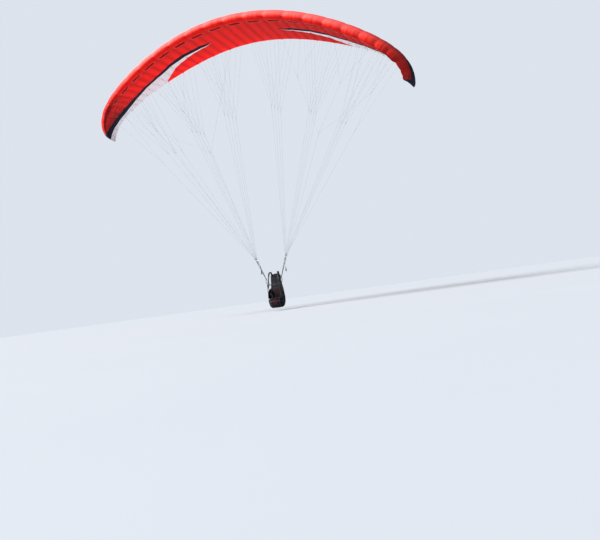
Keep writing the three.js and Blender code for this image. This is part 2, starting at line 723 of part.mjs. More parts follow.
function buildChestStrap(harness) {
  const z = -150;
  const reach = CARABINER_X - 6;
  const strap = strapAlong([vector(-reach, 0, z), vector(reach, 0, z)], UP, 26, 3);
  const buckle = plate(
    roundedOutline([[-32, -20, 8], [32, -20, 8], [32, 20, 8], [-32, 20, 8]]),
    12,
    vector(0, 0, z),
    ACROSS,
    UP,
    3,
  );
  add("chest_strap", join([strap, buckle]), materials.webbing, harness);
}

// A leg strap rises from the front edge of the seat and crosses the thigh to the side panel
function buildLegStrap(side, word, harness) {
  const { width, thickness } = LEG_STRAP;
  const front = SEAT.front - thickness / 2 - 3 * FIT;
  const path = smooth(
    [
      [side * 46, front, SEAT.top - 14],
      [side * 52, front - 2, SEAT.top + 50],
      [side * 84, -222, SEAT.top + 112],
      [side * 126, -170, SEAT.top + 130],
      [side * (SEAT.halfWidth - 5), -164, SEAT.top + 106],
    ],
    10,
  );
  add(
    `leg_strap_${word}`,
    strapAlong(path, ACROSS, width, thickness, BACKWARDS),
    materials.webbing,
    harness,
  );
}

function buildReserveHandle(harness) {
  const loop = roundedOutline([[-52, -24, 18], [52, -24, 18], [52, 24, 18], [-52, 24, 18]]);
  loop.holes.push(roundedOutline([[-36, -11, 9], [36, -11, 9], [36, 11, 9], [-36, 11, 9]]));
  const centre = vector(-(SEAT.halfWidth + FIT + SIDE.thickness + FIT + 6), 0, SEAT.top + 85);
  add("reserve_handle", plate(loop, 12, centre, BACKWARDS, UP, 3), materials.handle, harness);
}

function buildHarness() {
  const harness = new THREE.Group();
  harness.position.set(0, 0, -HANG_HEIGHT);
  buildSeat(harness);
  buildBack(harness);
  buildProtector(harness);
  buildChestStrap(harness);
  buildReserveHandle(harness);
  for (const [side, word] of [[1, "left"], [-1, "right"]]) {
    buildCarabiner(side, word, harness);
    buildSide(side, word, harness);
    buildHangStrap(side, word, harness);
    buildShoulderStrap(side, word, harness);
    buildLegStrap(side, word, harness);
  }
  paraglider.add(harness);
}

buildCanopy();
for (const [side, word] of [[1, "left"], [-1, "right"]]) {
  buildLines(side, word);
  buildBrakeLines(side, word);
  buildRisers(side, word);
  buildBrakeHandle(side, word);
}
buildHarness();

export default paraglider;
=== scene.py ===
import json
import math
from functools import partial

import bmesh
import bpy
import numpy as np
from bpy.props import FloatProperty, FloatVectorProperty, IntProperty, PointerProperty
from bpy.types import Operator, Panel, PropertyGroup
from mathutils import Matrix, Vector
from mathutils.bvhtree import BVHTree

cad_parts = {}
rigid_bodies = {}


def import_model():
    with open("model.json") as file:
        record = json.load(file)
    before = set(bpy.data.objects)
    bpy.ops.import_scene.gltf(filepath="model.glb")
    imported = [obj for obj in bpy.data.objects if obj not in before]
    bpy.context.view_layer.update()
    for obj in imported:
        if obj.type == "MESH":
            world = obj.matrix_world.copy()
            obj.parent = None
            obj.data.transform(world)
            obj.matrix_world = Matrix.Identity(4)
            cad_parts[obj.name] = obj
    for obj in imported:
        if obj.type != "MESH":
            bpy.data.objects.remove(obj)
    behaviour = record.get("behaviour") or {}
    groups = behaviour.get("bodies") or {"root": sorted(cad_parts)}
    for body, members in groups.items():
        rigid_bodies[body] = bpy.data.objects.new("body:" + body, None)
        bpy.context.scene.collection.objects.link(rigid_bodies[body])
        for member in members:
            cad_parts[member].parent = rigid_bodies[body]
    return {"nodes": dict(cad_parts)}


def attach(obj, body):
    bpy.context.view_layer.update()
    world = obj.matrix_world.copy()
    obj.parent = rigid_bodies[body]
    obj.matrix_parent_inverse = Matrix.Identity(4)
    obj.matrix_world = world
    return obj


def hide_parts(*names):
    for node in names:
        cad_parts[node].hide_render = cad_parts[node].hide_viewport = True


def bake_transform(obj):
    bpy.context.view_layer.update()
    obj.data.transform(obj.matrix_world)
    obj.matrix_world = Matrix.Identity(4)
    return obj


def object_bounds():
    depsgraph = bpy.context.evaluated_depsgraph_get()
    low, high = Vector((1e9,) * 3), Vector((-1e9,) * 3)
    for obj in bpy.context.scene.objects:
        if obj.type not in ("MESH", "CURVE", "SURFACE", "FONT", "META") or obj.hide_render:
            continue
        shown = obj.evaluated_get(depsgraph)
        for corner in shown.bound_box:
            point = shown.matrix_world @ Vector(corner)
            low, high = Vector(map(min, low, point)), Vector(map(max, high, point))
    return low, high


bl_info = {
    "name": "Paraglider",
    "version": (1, 0, 0),
    "blender": (4, 5, 0),
    "location": "3D View > Sidebar > Paraglider",
    "description": "A solo paraglider in level flight with an empty seat harness",
    "category": "Object",
}

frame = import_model()
CAD_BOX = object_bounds()
SIDES = ((1, "left"), (-1, "right"))
# The gap between pieces that lie side by side
FIT = 0.0003

# The canopy's shape, in metres, as the part's source has it
HALF_SPAN = 5.4
ROOT_CHORD = 2.95
TIP_CHORD_SHARE = 0.315
PLANFORM_POWER = 2.25
SWEEP_SHARE = 0.326
RIG_SLOPE = 0.0915
TIP_WASHOUT = 0.228
HANG_SHARE = 0.3
ARC_TURN = ((1.033, 1), (-0.601, 3), (1.439, 9))
THICKNESS = 0.12
CAMBER = 0.045
CAMBER_AT = 0.3
TRAILING_EDGE_SHARE = 0.0014
LOADED_RIBS = (0.28, 0.84, 1.4, 1.95, 2.5, 3.045, 3.55, 4.04, 4.43, 4.81)
OPEN_CELLS = 8
TIP_RIBS = (4.81, 5.08, 5.27, 5.4)
TIP_THIN_FROM = 4.9
TIP_LEAST_THICKNESS = 0.1
NOSE_REACH = 0.1

# What only the cloth has: its mouths, the dark curtains of painted shade behind them and the lowered rear of
# the outer wing
MOUTH = {"front": 0.028, "rear": 0.104, "margin": 0.10, "columns": 15}
SHADE_CURTAIN_AT = 0.13
# The ports in a rib: their places along the chord and their radius as a share of its height
PORTS = {"at": (0.16, 0.3, 0.45), "radius": 0.28}
DROOP = {"most": 0.05, "at": 4.5, "reach": 0.9, "from": 0.55}
ROW_POWER = 1.6

# The graphic: pairs of distance from the centre along the arc and share of the chord
NAVY_FROM = ((0.0, 0.46), (0.95, 0.47), (1.3, 0.43), (1.7, 0.41), (2.1, 0.405), (2.4, 0.43), (2.8, 0.485),
             (3.2, 0.53), (3.5, 0.548), (3.8, 0.585), (4.12, 0.622), (4.38, 0.635), (4.6, 0.625),
             (4.84, 0.582), (5.02, 0.452), (5.24, 0.224), (5.35, -0.01), (5.4, -0.01))
WHITE_FROM = ((0.0, 0.46), (0.95, 0.47), (1.3, 0.52), (1.7, 0.505), (2.1, 0.505), (2.4, 0.52), (2.7, 0.558),
              (3.0, 0.595), (3.3, 0.615), (3.55, 0.65), (3.8, 0.7), (4.1, 0.76), (4.32, 0.8), (4.56, 0.835),
              (4.74, 0.83), (4.94, 0.797), (5.1, 0.716), (5.34, 0.575), (5.4, 0.57))
RED_AGAIN_FROM = ((0.0, 0.44), (0.95, 0.465), (1.3, 0.54), (1.7, 0.552), (2.0, 0.595), (2.22, 0.62),
                  (2.45, 0.67), (2.7, 0.775), (2.87, 0.86), (3.0, 0.92), (3.06, 1.01), (5.4, 1.01))
NAVY_ABOVE = ((0.0, 1.01), (4.4, 1.01), (4.5, 0.5), (4.65, 0.32), (4.84, 0.22), (4.98, 0.2), (5.13, 0.2),
              (5.26, 0.27), (5.33, 0.3), (5.37, 0.0), (5.38, -0.01), (5.4, -0.01))

# Suspension: chord share of each row, where its riser ends fore and aft, and its groups of loaded ribs
ROWS = (
    ("a", 0.1, -0.078, ((0, 1, 2), (3, 4, 5), (6, 7, 8))),
    ("b", 0.32, -0.028, ((0, 1, 2), (3, 4, 5), (6, 7), (8, 9))),
    ("c", 0.55, 0.028, ((0, 1, 2), (3, 4, 5), (6, 7, 8))),
    ("d", 0.77, 0.078, ((0, 1, 2), (3, 4, 5), (6, 7))),
)
BRAKE_GROUPS = ((1, 2, 3), (4, 5, 6), (7, 8))
KNOT_SHARE = 0.64
BRAKE_KNOT_SHARES = (0.58, 0.82)
TAB_DROP = 0.024
LINE_PITCH = 0.0028
# The thicker sewn end of a line: how long it is and tapers, and its size at the end and before the taper
SEWN_END = {"length": 0.09, "taper": 0.008, "sizes": (1.4, 1.35)}

HANG = -7.256
CARABINER_X = 0.21
RISER_LENGTH = 0.6
RISER_SPLAY = math.radians(20)
RISER_PITCH = 0.0032
RISER_SEWN_TO = 0.09
RISER_WIDTH = 0.022
# The sleeve round the foot of the risers: places along it with half its width and half its depth there
RISER_SLEEVE = ((0.024, 0.0075, 0.009), (0.027, 0.0092, 0.0128), (0.034, 0.0098, 0.0140),
                (0.05, 0.0095, 0.0148), (0.07, 0.0088, 0.0165), (0.084, 0.0082, 0.0182),
                (0.09, 0.0076, 0.0185), (0.092, 0.006, 0.0165))
LINK = {"width": 0.018, "height": 0.036, "bar": 0.0019, "bite": 0.005}
PULLEY_AT = 0.43
PULLEY = {"radius": 0.011, "width": 0.008, "tab": 0.024}
TOGGLE_DROP = 0.096
BRAKE_CORD_RADIUS = 0.0016
CARABINER = {"half_width": 0.024, "height": 0.092, "bar": 0.005, "corner": 0.012}

UP = np.array([0.0, 0.0, 1.0])
ACROSS = np.array([1.0, 0.0, 0.0])
BACKWARDS = np.array([0.0, 1.0, 0.0])
# The turn that lays a cylinder along y
LAID_DOWN = (math.pi / 2, 0, 0)


# Settings
def number_setting(name, description, *default, **kind):
    """A number, or a few, that the user may change."""
    if len(default) > 1:
        return FloatVectorProperty(name=name, description=description, default=default, **kind)
    return FloatProperty(name=name, description=description, default=default[0], **kind)


colour_setting = partial(number_setting, subtype="COLOR")
direction_setting = partial(number_setting, subtype="DIRECTION")
angle_setting = partial(number_setting, subtype="ANGLE")
length_setting = partial(number_setting, unit="LENGTH")
strength_setting = partial(number_setting, min=0)
share_setting = partial(number_setting, min=0, max=1)


class StageSettings(PropertyGroup):
    camera_at: length_setting("Camera", "Where the camera stands", 4.527, -20.849, -7.809, subtype="XYZ")
    camera_towards: direction_setting("Looks along", "The camera's line of sight", -0.17703, 0.98365, 0.03316)
    camera_roll: angle_setting("Roll", "Turn about the line of sight", math.radians(-7.8))
    lens: number_setting("Lens", "Focal length on a 36 mm sensor", 45.44, min=10, max=200)
    sun_from: direction_setting("Sun from", "Direction towards the sun", -0.66, -0.36, 0.66)
    sun_strength: strength_setting("Sun", "Strength of the sun", 12.0)
    sun_angle: angle_setting("Softness", "How wide the sun looks", math.radians(55))
    fill: strength_setting("Fill", "Strength of the soft light all round", 0.33)
    sky: colour_setting("Backdrop", "Colour of the plain backdrop", 0.72, 0.77, 0.84)
    floor_gap: length_setting("Floor gap", "From the floor up to the lowest part", 0.09)


class CanopySettings(PropertyGroup):
    red: colour_setting("Red cloth", "Main colour", 0.93, 0.030, 0.020)
    # Painted highlight: a pinker red for the top and the nose band, standing in for strong sunlight on them
    bleached: colour_setting("Bleached red", "The red cloth where the sun has faded it", 0.95, 0.10, 0.088)
    navy: colour_setting("Navy cloth", "Stripe and tips", 0.012, 0.015, 0.05)
    white: colour_setting("White cloth", "Wedge behind the stripe", 1.0, 0.99, 1.0)
    lobe: length_setting("Lobe", "How far a double cell swells out at the nose", 0.042)
    kept_above: share_setting("Kept above", "Share of that swelling on top", 0.22)
    kept_below: share_setting("Kept below", "Share of that swelling underneath", 0.3)
    chamber: length_setting("Chamber", "How far each chamber swells on top of it", 0.006)
    rows: IntProperty(name="Rows", description="Rows of faces along each skin", default=84, min=20, max=120)


class RiggingSettings(PropertyGroup):
    line_colour: colour_setting("Lines", "Sheath of the lines", 0.10, 0.12, 0.17)
    webbing_colour: colour_setting("Risers", "Webbing of the risers", 0.012, 0.013, 0.02)
    main_radius: length_setting("Main line", "Radius of a main line", 0.0012)
    upper_radius: length_setting("Upper line", "Radius of an upper line", 0.0009)


class HarnessSettings(PropertyGroup):
    shell: colour_setting("Shell", "Main cloth", 0.006, 0.0066, 0.0095)
    panel: colour_setting("Panel", "Dark red panels", 0.042, 0.0045, 0.007)
    lining: colour_setting("Lining", "Mesh lining and inner panels", 0.013, 0.0135, 0.017)
    trim: colour_setting("Trim", "Grey panels and piping", 0.05, 0.045, 0.053)
    handle: colour_setting("Reserve handle", "Colour of the handle", 0.62, 0.02, 0.03)


# Geometry helpers
def unit(vectors):
    return vectors / np.maximum(np.linalg.norm(vectors, axis=-1, keepdims=True), 1e-12)


def beside(*columns):
    """Columns of numbers side by side as points, a single number repeated."""
    return np.stack(np.broadcast_arrays(*columns), axis=-1)


def tilt_at(share):
    return sum(turn * share ** power for turn, power in ARC_TURN)


ARC_STEP = 0.01
ARC = np.arange(0, HALF_SPAN + ARC_STEP / 2, ARC_STEP)
MIDWAY = tilt_at((ARC[1:] + ARC[:-1]) / 2 / HALF_SPAN)
ARC_X = np.concatenate([[0], np.cumsum(np.cos(MIDWAY)) * ARC_STEP])
ARC_Z = -np.concatenate([[0], np.cumsum(np.sin(MIDWAY)) * ARC_STEP])


def station(arc):
    """Place, tilt, chord, nose and washout of the canopy at distances along its arc."""
    side = np.where(arc < 0, -1.0, 1.0)
    share = np.minimum(np.abs(arc) / HALF_SPAN, 1)
    ellipse = np.maximum(1 - (0.999 * share) ** PLANFORM_POWER, 0) ** (1 / PLANFORM_POWER)
    return {
        "x": side * np.interp(np.abs(arc), ARC, ARC_X),
        "z": np.interp(np.abs(arc), ARC, ARC_Z),
        "tilt": side * tilt_at(share),
        "chord": ROOT_CHORD * (TIP_CHORD_SHARE + (1 - TIP_CHORD_SHARE) * ellipse),
        "nose": ROOT_CHORD * (SWEEP_SHARE * (1 - np.sqrt(1 - 0.97 * share ** 2)) - HANG_SHARE),
        "washout": TIP_WASHOUT * share ** 3,
    }


def profile(share):
    """Camber line and half thickness of the section, as shares of the chord."""
    half = 5 * THICKNESS * (0.2969 * np.sqrt(share) - 0.126 * share - 0.3516 * share ** 2
                            + 0.2843 * share ** 3 - 0.1036 * share ** 4) + TRAILING_EDGE_SHARE * share
    ahead = (CAMBER / CAMBER_AT ** 2) * (2 * CAMBER_AT * share - share ** 2)
    behind = (CAMBER / (1 - CAMBER_AT) ** 2) * (1 - 2 * CAMBER_AT + 2 * CAMBER_AT * share - share ** 2)
    return np.where(share < CAMBER_AT, ahead, behind), half


def droop(arc, share):
    """How far the rear of the outer wing is pulled below its section."""
    bell = np.cos(np.clip((np.abs(arc) - DROOP["at"]) / DROOP["reach"], -1, 1) * np.pi / 2) ** 2
    return DROOP["most"] * bell * np.clip((share - DROOP["from"]) / (1 - DROOP["from"]), 0, 1) ** 1.5


def rib_point(at, along, away):
    rise = away + at["washout"] * (along - HANG_SHARE * at["chord"])
    y = at["nose"] + along
    return beside(at["x"] + rise * np.sin(at["tilt"]), y, at["z"] + rise * np.cos(at["tilt"]) + RIG_SLOPE * y)


def surface(arc, signed, swell, thinning=1.0):
    """Points of the skin. The signed share of the chord is positive above and negative below."""
    at = station(arc)
    share = np.abs(signed)
    camber, half = profile(share)
    along = share * at["chord"]
    away = (camber + np.where(signed > 0, half, -half) * thinning) * at["chord"] - droop(arc, share)
    run, rise = np.gradient(along, axis=1), np.gradient(away, axis=1)
    step = np.maximum(np.hypot(run, rise), 1e-9)
    return rib_point(at, along + swell * rise / step, away - swell * run / step)


def underside(side, rib, chord_share):
    arc = side * LOADED_RIBS[rib]
    at = station(np.array(arc))
    camber, half = profile(np.array(chord_share))
    return rib_point(at, chord_share * at["chord"], (camber - half) * at["chord"] - droop(arc, chord_share))


class Making:
    """Points, faces and cloth coordinates of a piece while it is made."""

    def __init__(self):
        self.points, self.faces, self.coordinates = [], [], []

    def add(self, points, faces, coordinates):
        first = sum(len(group) for group in self.points)
        self.points.append(points)
        self.coordinates.append(coordinates)
        self.faces += [tuple(i + first for i in face) for face in faces]

    def sweep(self, path, across, section, sizes=None, closed=False):
        """A section carried along a path. Its first axis lies along across, which may be one per point."""
        path, section = np.asarray(path, float), np.asarray(section, float)
        count, corners = len(path), len(section)
        run = np.roll(path, -1, axis=0) - np.roll(path, 1, axis=0) if closed else np.gradient(path, axis=0)
        run = unit(run)
        side = np.broadcast_to(np.asarray(across, float), path.shape)
        side = unit(side - run * np.sum(side * run, axis=1, keepdims=True))
        out = np.cross(run, side)
        sizes = np.ones((count, 2)) if sizes is None else np.asarray(sizes, float)
        a = section[None, :, 0] * sizes[:, 0:1]
        b = section[None, :, 1] * sizes[:, 1:2]
        points = path[:, None] + side[:, None] * a[..., None] + out[:, None] * b[..., None]
        steps = np.linalg.norm(np.diff(path, axis=0), axis=1)
        places = np.concatenate([[0], np.cumsum(steps)])
        faces = tube_faces(count, corners, closed)
        if not closed:
            faces += end_faces(count, corners)
        self.add(points.reshape(-1, 3), faces, beside(a, places[:, None]).reshape(-1, 2))

    def bare(self, name, *materials, sharp=None):
        """The piece as an object, without its nodes, slot and body."""
        mesh = bpy.data.meshes.new(name)
        mesh.from_pydata(np.concatenate(self.points).tolist(), [], self.faces)
        corners = corner_points(mesh)
        uv = mesh.uv_layers.new(name="cloth")
        uv.data.foreach_set("uv", np.concatenate(self.coordinates)[corners].ravel())
        return placed(name, mesh, *materials, sharp=sharp)

    def piece(self, name, material, slot, *nodes, body="harness", sharp=None):
        return dressed(self.bare(name, material, sharp=sharp), slot, *nodes, body=body)


def tube_faces(rings, sides, closed=False):
    """Four-sided faces between rings of points."""
    faces = []
    for i in range(rings if closed else rings - 1):
        here, there = i * sides, (i + 1) % rings * sides
        for k in range(sides):
            after = (k + 1) % sides
            faces.append((here + k, here + after, there + after, there + k))
    return faces


def end_faces(rings, sides):
    return [tuple(range(sides - 1, -1, -1)), tuple(range((rings - 1) * sides, rings * sides))]


def grid_faces(rows, columns, left_out=()):
    """Four-sided faces of a grid of points."""
    return [(i * columns + k, i * columns + k + 1, (i + 1) * columns + k + 1, (i + 1) * columns + k)
            for i in range(rows - 1) for k in range(columns - 1) if (i, k) not in left_out]


def corner_points(mesh):
    corners = np.zeros(len(mesh.loops), int)
    mesh.loops.foreach_get("vertex_index", corners)
    return corners


def placed(name, mesh, *materials, sharp=None):
    """A finished mesh as an object in the scene, smooth apart from edges sharper than an angle."""
    piece = bpy.data.objects.new(name, mesh)
    bpy.context.scene.collection.objects.link(piece)
    for material in materials:
        mesh.materials.append(material)
    mesh.shade_smooth()
    if sharp is not None:
        pick(piece)
        bpy.ops.object.shade_smooth_by_angle(angle=math.radians(sharp))
    return piece


def dressed(piece, slot, *nodes, body="harness"):
    """Hides the nodes that a piece stands for and gives the piece its body. Its slot is not used."""
    if nodes:
        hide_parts(*nodes)
    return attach(piece, body)


def pick(*pieces):
    """Selects only these pieces, the first one active."""
    for other in bpy.context.view_layer.objects:
        other.select_set(False)
    for piece in pieces:
        piece.select_set(True)
    bpy.context.view_layer.objects.active = pieces[0]


def edited(piece, *changes):
    """Passes the mesh of a piece through changes made with bmesh."""
    work = bmesh.new()
    work.from_mesh(piece.data)
    for change in changes:
        change(work)
    work.to_mesh(piece.data)
    work.free()


def merge_doubles(work):
    bmesh.ops.remove_doubles(work, verts=work.verts, dist=1e-5)


def face_outwards(work):
    bmesh.ops.recalc_face_normals(work, faces=work.faces)


def drop_loose_points(work):
    bmesh.ops.delete(work, geom=[v for v in work.verts if not v.link_faces], context="VERTS")


def ring(radius, sides=6):
    angles = 2 * np.pi * np.arange(sides) / sides
    return beside(radius * np.cos(angles), radius * np.sin(angles))


def squarish(sides, power):
    """A ring of radius 1, drawn towards a square."""
    return np.sign(ring(1, sides)) * np.abs(ring(1, sides)) ** power


def flat_section(width, thickness):
    """Cross-section of a strap with its corners taken off."""
    a, b = width / 2, thickness / 2
    c = 0.35 * thickness
    half = [(a - c, b), (-a + c, b), (-a, b - c), (-a, -b + c)]
    return half + [(-x, -y) for x, y in half]


def smooth_path(points, count):
    """Points of a Catmull-Rom curve through a few points."""
    points = np.asarray(points, float)
    padded = np.concatenate([[2 * points[0] - points[1]], points, [2 * points[-1] - points[-2]]])
    places = np.linspace(0, len(points) - 1, count)
    at = np.minimum(places.astype(int), len(points) - 2)
    t = (places - at)[:, None]
    p0, p1, p2, p3 = (padded[at + i] for i in range(4))
    return 0.5 * (2 * p1 + (p2 - p0) * t + (2 * p0 - 5 * p1 + 4 * p2 - p3) * t ** 2
                  + (3 * p1 - p0 - 3 * p2 + p3) * t ** 3)


# Materials
class Value:
    """An output of a shader node. Arithmetic with it adds Math nodes."""

    def __init__(self, socket):
        self.socket = socket

    def node(self, kind, inputs, output=0, **settings):
        return add_node(self.socket.id_data, kind, inputs, output, **settings)

    def math(self, operation, *others):
        return self.node("Math", dict(enumerate((self, *others))), operation=operation)

    def __add__(self, other):
        return self.math("ADD", other)

    def __sub__(self, other):
        return self.math("SUBTRACT", other)

    def __rsub__(self, other):
        return self.node("Math", {0: other, 1: self}, operation="SUBTRACT")

    def __mul__(self, other):
        return self.math("MULTIPLY", other)

    def __lt__(self, other):
        return self.math("LESS_THAN", other)

    def __abs__(self):
        return self.math("ABSOLUTE")

    def sine(self):
        return self.math("SINE")

    def dashes(self, rate, filled):
        """Stripes across it, so many to a metre, each 1 over a share of its width and 0 over the rest."""
        return (self * rate).math("FRACT") < filled

    def above(self, start, width):
        """0 below start and 1 above it, over a width."""
        return self.node("MapRange", {0: self, 1: start - width / 2, 2: start + width / 2})

    def below(self, start, width):
        return 1 - self.above(start, width)

    def noise(self, scale, detail=3.0, roughness=0.5):
        inputs = {"Vector": self, "Scale": scale, "Detail": detail, "Roughness": roughness}
        return self.node("TexNoise", inputs, "Fac")

    def scaled(self, *scale):
        return self.node("Mapping", {0: self, "Scale": scale})

    def split(self):
        return [Value(output) for output in self.node("SeparateXYZ", {0: self}).socket.node.outputs]


def add_node(tree, kind, inputs=None, output=0, **settings):
    """Adds a shader node and gives one of its outputs."""
    made = tree.nodes.new("ShaderNode" + kind)
    for key, value in settings.items():
        setattr(made, key, value)
    for key, value in (inputs or {}).items():
        socket = made.inputs[key]
        if isinstance(value, Value):
            tree.links.new(value.socket, socket)
        else:
            socket.default_value = (*value[:3], 1) if socket.type == "RGBA" else value
    return Value(made.outputs[output])


class Finish:
    """A material while its nodes are made."""

    def __init__(self, name, **sockets):
        self.material = bpy.data.materials.new(name)
        self.material.use_nodes = True
        self.tree = self.material.node_tree
        self.principled = self.found("BSDF_PRINCIPLED")
        for key, value in sockets.items():
            self.principled.inputs[key.replace("_", " ")].default_value = value

    def found(self, kind):
        return next(node for node in self.tree.nodes if node.type == kind)

    def place(self):
        return add_node(self.tree, "TexCoord", output="Object")

    def uv(self, name):
        return add_node(self.tree, "UVMap", uv_map=name)

    def blend(self, share, low, high, kind="MIX"):
        return add_node(self.tree, "Mix", {0: share, 6: low, 7: high}, 2, data_type="RGBA", blend_type=kind)

    def tinted(self, share, colour, *tint):
        return self.blend(share, colour, tint, "MULTIPLY")

    def put(self, socket, value):
        self.tree.links.new(value.socket, self.principled.inputs[socket])

    def finished(self, colour, height, distance=1.0, through=None):
        """Joins up the colour, the relief and the share of the light that shines through."""
        bump = add_node(self.tree, "Bump", {"Height": height, "Distance": distance, "Strength": 1.0})
        self.put("Base Color", colour)
        self.put("Normal", bump)
        if through is not None:
            glow = add_node(self.tree, "BsdfTranslucent", {"Color": colour, "Normal": bump})
            front = Value(self.principled.outputs[0])
            mixed = add_node(self.tree, "MixShader", {0: through, 1: front, 2: glow})
            self.tree.links.new(mixed.socket, self.found("OUTPUT_MATERIAL").inputs[0])
        return self.material


def times(tint, share, more=0.0):
    """A colour made darker or lighter."""
    return [min(c * share + more, 1) for c in tint]


def edge_curve(arc_share, points):
    """A panel edge of the graphic: straight from point to point."""
    made = arc_share.node("FloatCurve", {1: arc_share})
    mapping = made.socket.node.mapping
    mapping.use_clip = False
    curve = mapping.curves[0]
    for i, (arc, share) in enumerate(points):
        if i < len(curve.points):
            curve.points[i].location = (arc / HALF_SPAN, share)
        else:
            curve.points.new(arc / HALF_SPAN, share)
    for point in curve.points:
        point.handle_type = "VECTOR"
    mapping.update()
    return made


def rib_distance(arc):
    """Distance from the nearest rib along the arc, from the ribs' own places."""
    middles = [(a + b) / 2 for a, b in zip((-LOADED_RIBS[0],) + LOADED_RIBS, LOADED_RIBS)]
    nearest = None
    for place in sorted({round(place, 4) for place in (*middles, *LOADED_RIBS, *TIP_RIBS)}):
        distance = abs(arc - place)
        nearest = nearest.math("MINIMUM", distance) if nearest else distance
    return nearest


def canopy_cloth(settings):
    """Coated ripstop in red, navy and white panels with sewn seams."""
    finish = Finish("canopy_cloth", Roughness=0.58, Specular_IOR_Level=0.12, Sheen_Weight=0.04,
                    Sheen_Roughness=0.4, Sheen_Tint=(1.0, 0.72, 0.70, 1))
    along, signed, _ = finish.uv("graphic").split()
    arc, share, lower = abs(along), abs(signed), signed < 0.0
    arc_share = arc.math("DIVIDE", HALF_SPAN)
    navy, white, red_again, navy_above = (
        (share - edge_curve(arc_share, points)).above(0.0, 0.003)
        for points in (NAVY_FROM, WHITE_FROM, RED_AGAIN_FROM, NAVY_ABOVE))
    cloth = finish.uv("cloth")
    red = finish.blend(cloth.noise(0.9, 2.0), settings.red, times(settings.red, 0.86))
    under = finish.blend(navy, red, settings.navy)
    under = finish.blend(white, under, settings.white)
    under = finish.blend(red_again, under, red)

    # Painted highlight: the top, most of all the nose band, turns a pinker red as if in strong sunlight, less
    # so towards the tips
    upper = signed.above(0.0, 0.012)
    painted_sunlight = (upper - signed.above(0.2, 0.25)).math("MAXIMUM", upper * 0.3)
    towards_tip = arc.above(3.4, 1.6) * -0.85 + 1.0
    over = finish.blend(painted_sunlight * towards_tip, red, settings.bleached)
    # Painted shade: the top of the outer wing, from about 4.1 m out, is made darker red
    over = finish.blend(arc.above(4.1, 0.9), over, times(settings.red, 0.5))
    over = finish.blend(navy_above, over, settings.navy)
    colour = finish.blend(lower, over, under)

    # Painted shade under the nose near the tips: a darker, bluish red
    painted_tip_nose_shade = arc.above(4.3, 0.5) * (lower * share.below(0.07, 0.05))
    colour = finish.tinted(painted_tip_nose_shade, colour, 0.45, 0.35, 0.6)
    rib = rib_distance(arc)
    shadow = rib.below(0.062, 0.11) * lower * share.above(0.125, 0.05)
    wedge = (white - red_again) * lower
    colour = finish.tinted(shadow * (wedge * -0.3 + 0.45), colour, 0.62, 0.5, 0.55)
    seam = rib.below(0.006, 0.003)
    colour = finish.tinted(seam * 0.5, colour, 0.5, 0.42, 0.45)

    threads = [axis.dashes(160.0, 0.18) for axis in cloth.split()[:2]]
    ripstop = threads[0].math("MAXIMUM", threads[1])
    folds = cloth.scaled(1.0, 3.4, 1.0).noise(5.0, 4.0, 0.55)
    puckers = cloth.scaled(0.35, 1.0, 1.0).noise(42.0, 2.0) * rib.below(0.03, 0.06)
    height = folds * 0.006 + ripstop * 0.00006 + puckers * 0.0035 - seam * 0.0008
    lined_nose = signed.above(0.0, 0.01) - signed.above(0.12, 0.14)
    thick = (lined_nose * 0.4).math("MAXIMUM", wedge * 0.54)
    return finish.finished(colour, height, through=0.6 - thick)


def rib_cloth():
    # Dark red ribs, darkened as painted shade inside the cells
    finish = Finish("rib_cloth", Roughness=0.6, Sheen_Weight=0.2)
    place = finish.place()
    colour = finish.blend(place.noise(3.0), (0.42, 0.05, 0.05), (0.34, 0.04, 0.04))
    return finish.finished(colour, place.noise(30.0, 4.0), 0.002, through=0.4)


def webbing(name, tint, half_width, thread=(0.10, 0.10, 0.11)):
    """Woven tape with a row of stitches along each edge."""
    finish = Finish(name, Roughness=0.62, Specular_IOR_Level=0.2, Sheen_Weight=0.08)
    sideways, along, _ = finish.uv("cloth").split()
    across = abs(sideways)
    weave = (sideways * 3600.0).sine() * (along * 2600.0 + across * 2400.0).sine()
    colour = finish.blend(finish.place().noise(18.0, 5.0).above(0.62, 0.3), tint, times(tint, 1.6, 0.004))
    colour = finish.blend(weave * 0.14 + 0.14, colour, times(tint, 0.45))
    stitch = abs(across - half_width * 0.72).below(0.0006, 0.0002) * along.dashes(230.0, 0.68)
    return finish.finished(finish.blend(stitch, colour, thread), weave * 0.00012 + stitch * 0.0003)


def braided_line(name, tint):
    finish = Finish(name, Roughness=0.55)
    sideways, lengthways, _ = finish.uv("cloth").split()
    across, along = sideways * 2500.0, lengthways * 1400.0
    braid = (along + across).sine() * (along - across).sine()
    return finish.finished(finish.blend(braid * 0.3 + 0.3, tint, times(tint, 0.5)), braid, 0.00015)


def metal(name, tint, roughness=0.28):
    """Polished alloy with fine scratches and darker handling marks."""
    finish = Finish(name, Metallic=1.0)
    place = finish.place()
    marks = place.noise(60.0, 6.0, 0.7)
    finish.put("Roughness", marks.node("MapRange", {0: marks, 3: roughness - 0.08, 4: roughness + 0.16}))
    scratches = place.scaled(1.0, 1.0, 0.08).noise(900.0, 2.0)
    return finish.finished(finish.blend(marks, tint, times(tint, 0.72)), scratches, 0.00004)


def plastic(name, tint):
    finish = Finish(name, Roughness=0.45)
    place = finish.place()
    worn = place.noise(80.0, 5.0, 0.6).above(0.6, 0.25)
    colour = finish.blend(worn, tint, times(tint, 1.6, 0.012))
    return finish.finished(colour, place.noise(900.0, 2.0), 0.00008)


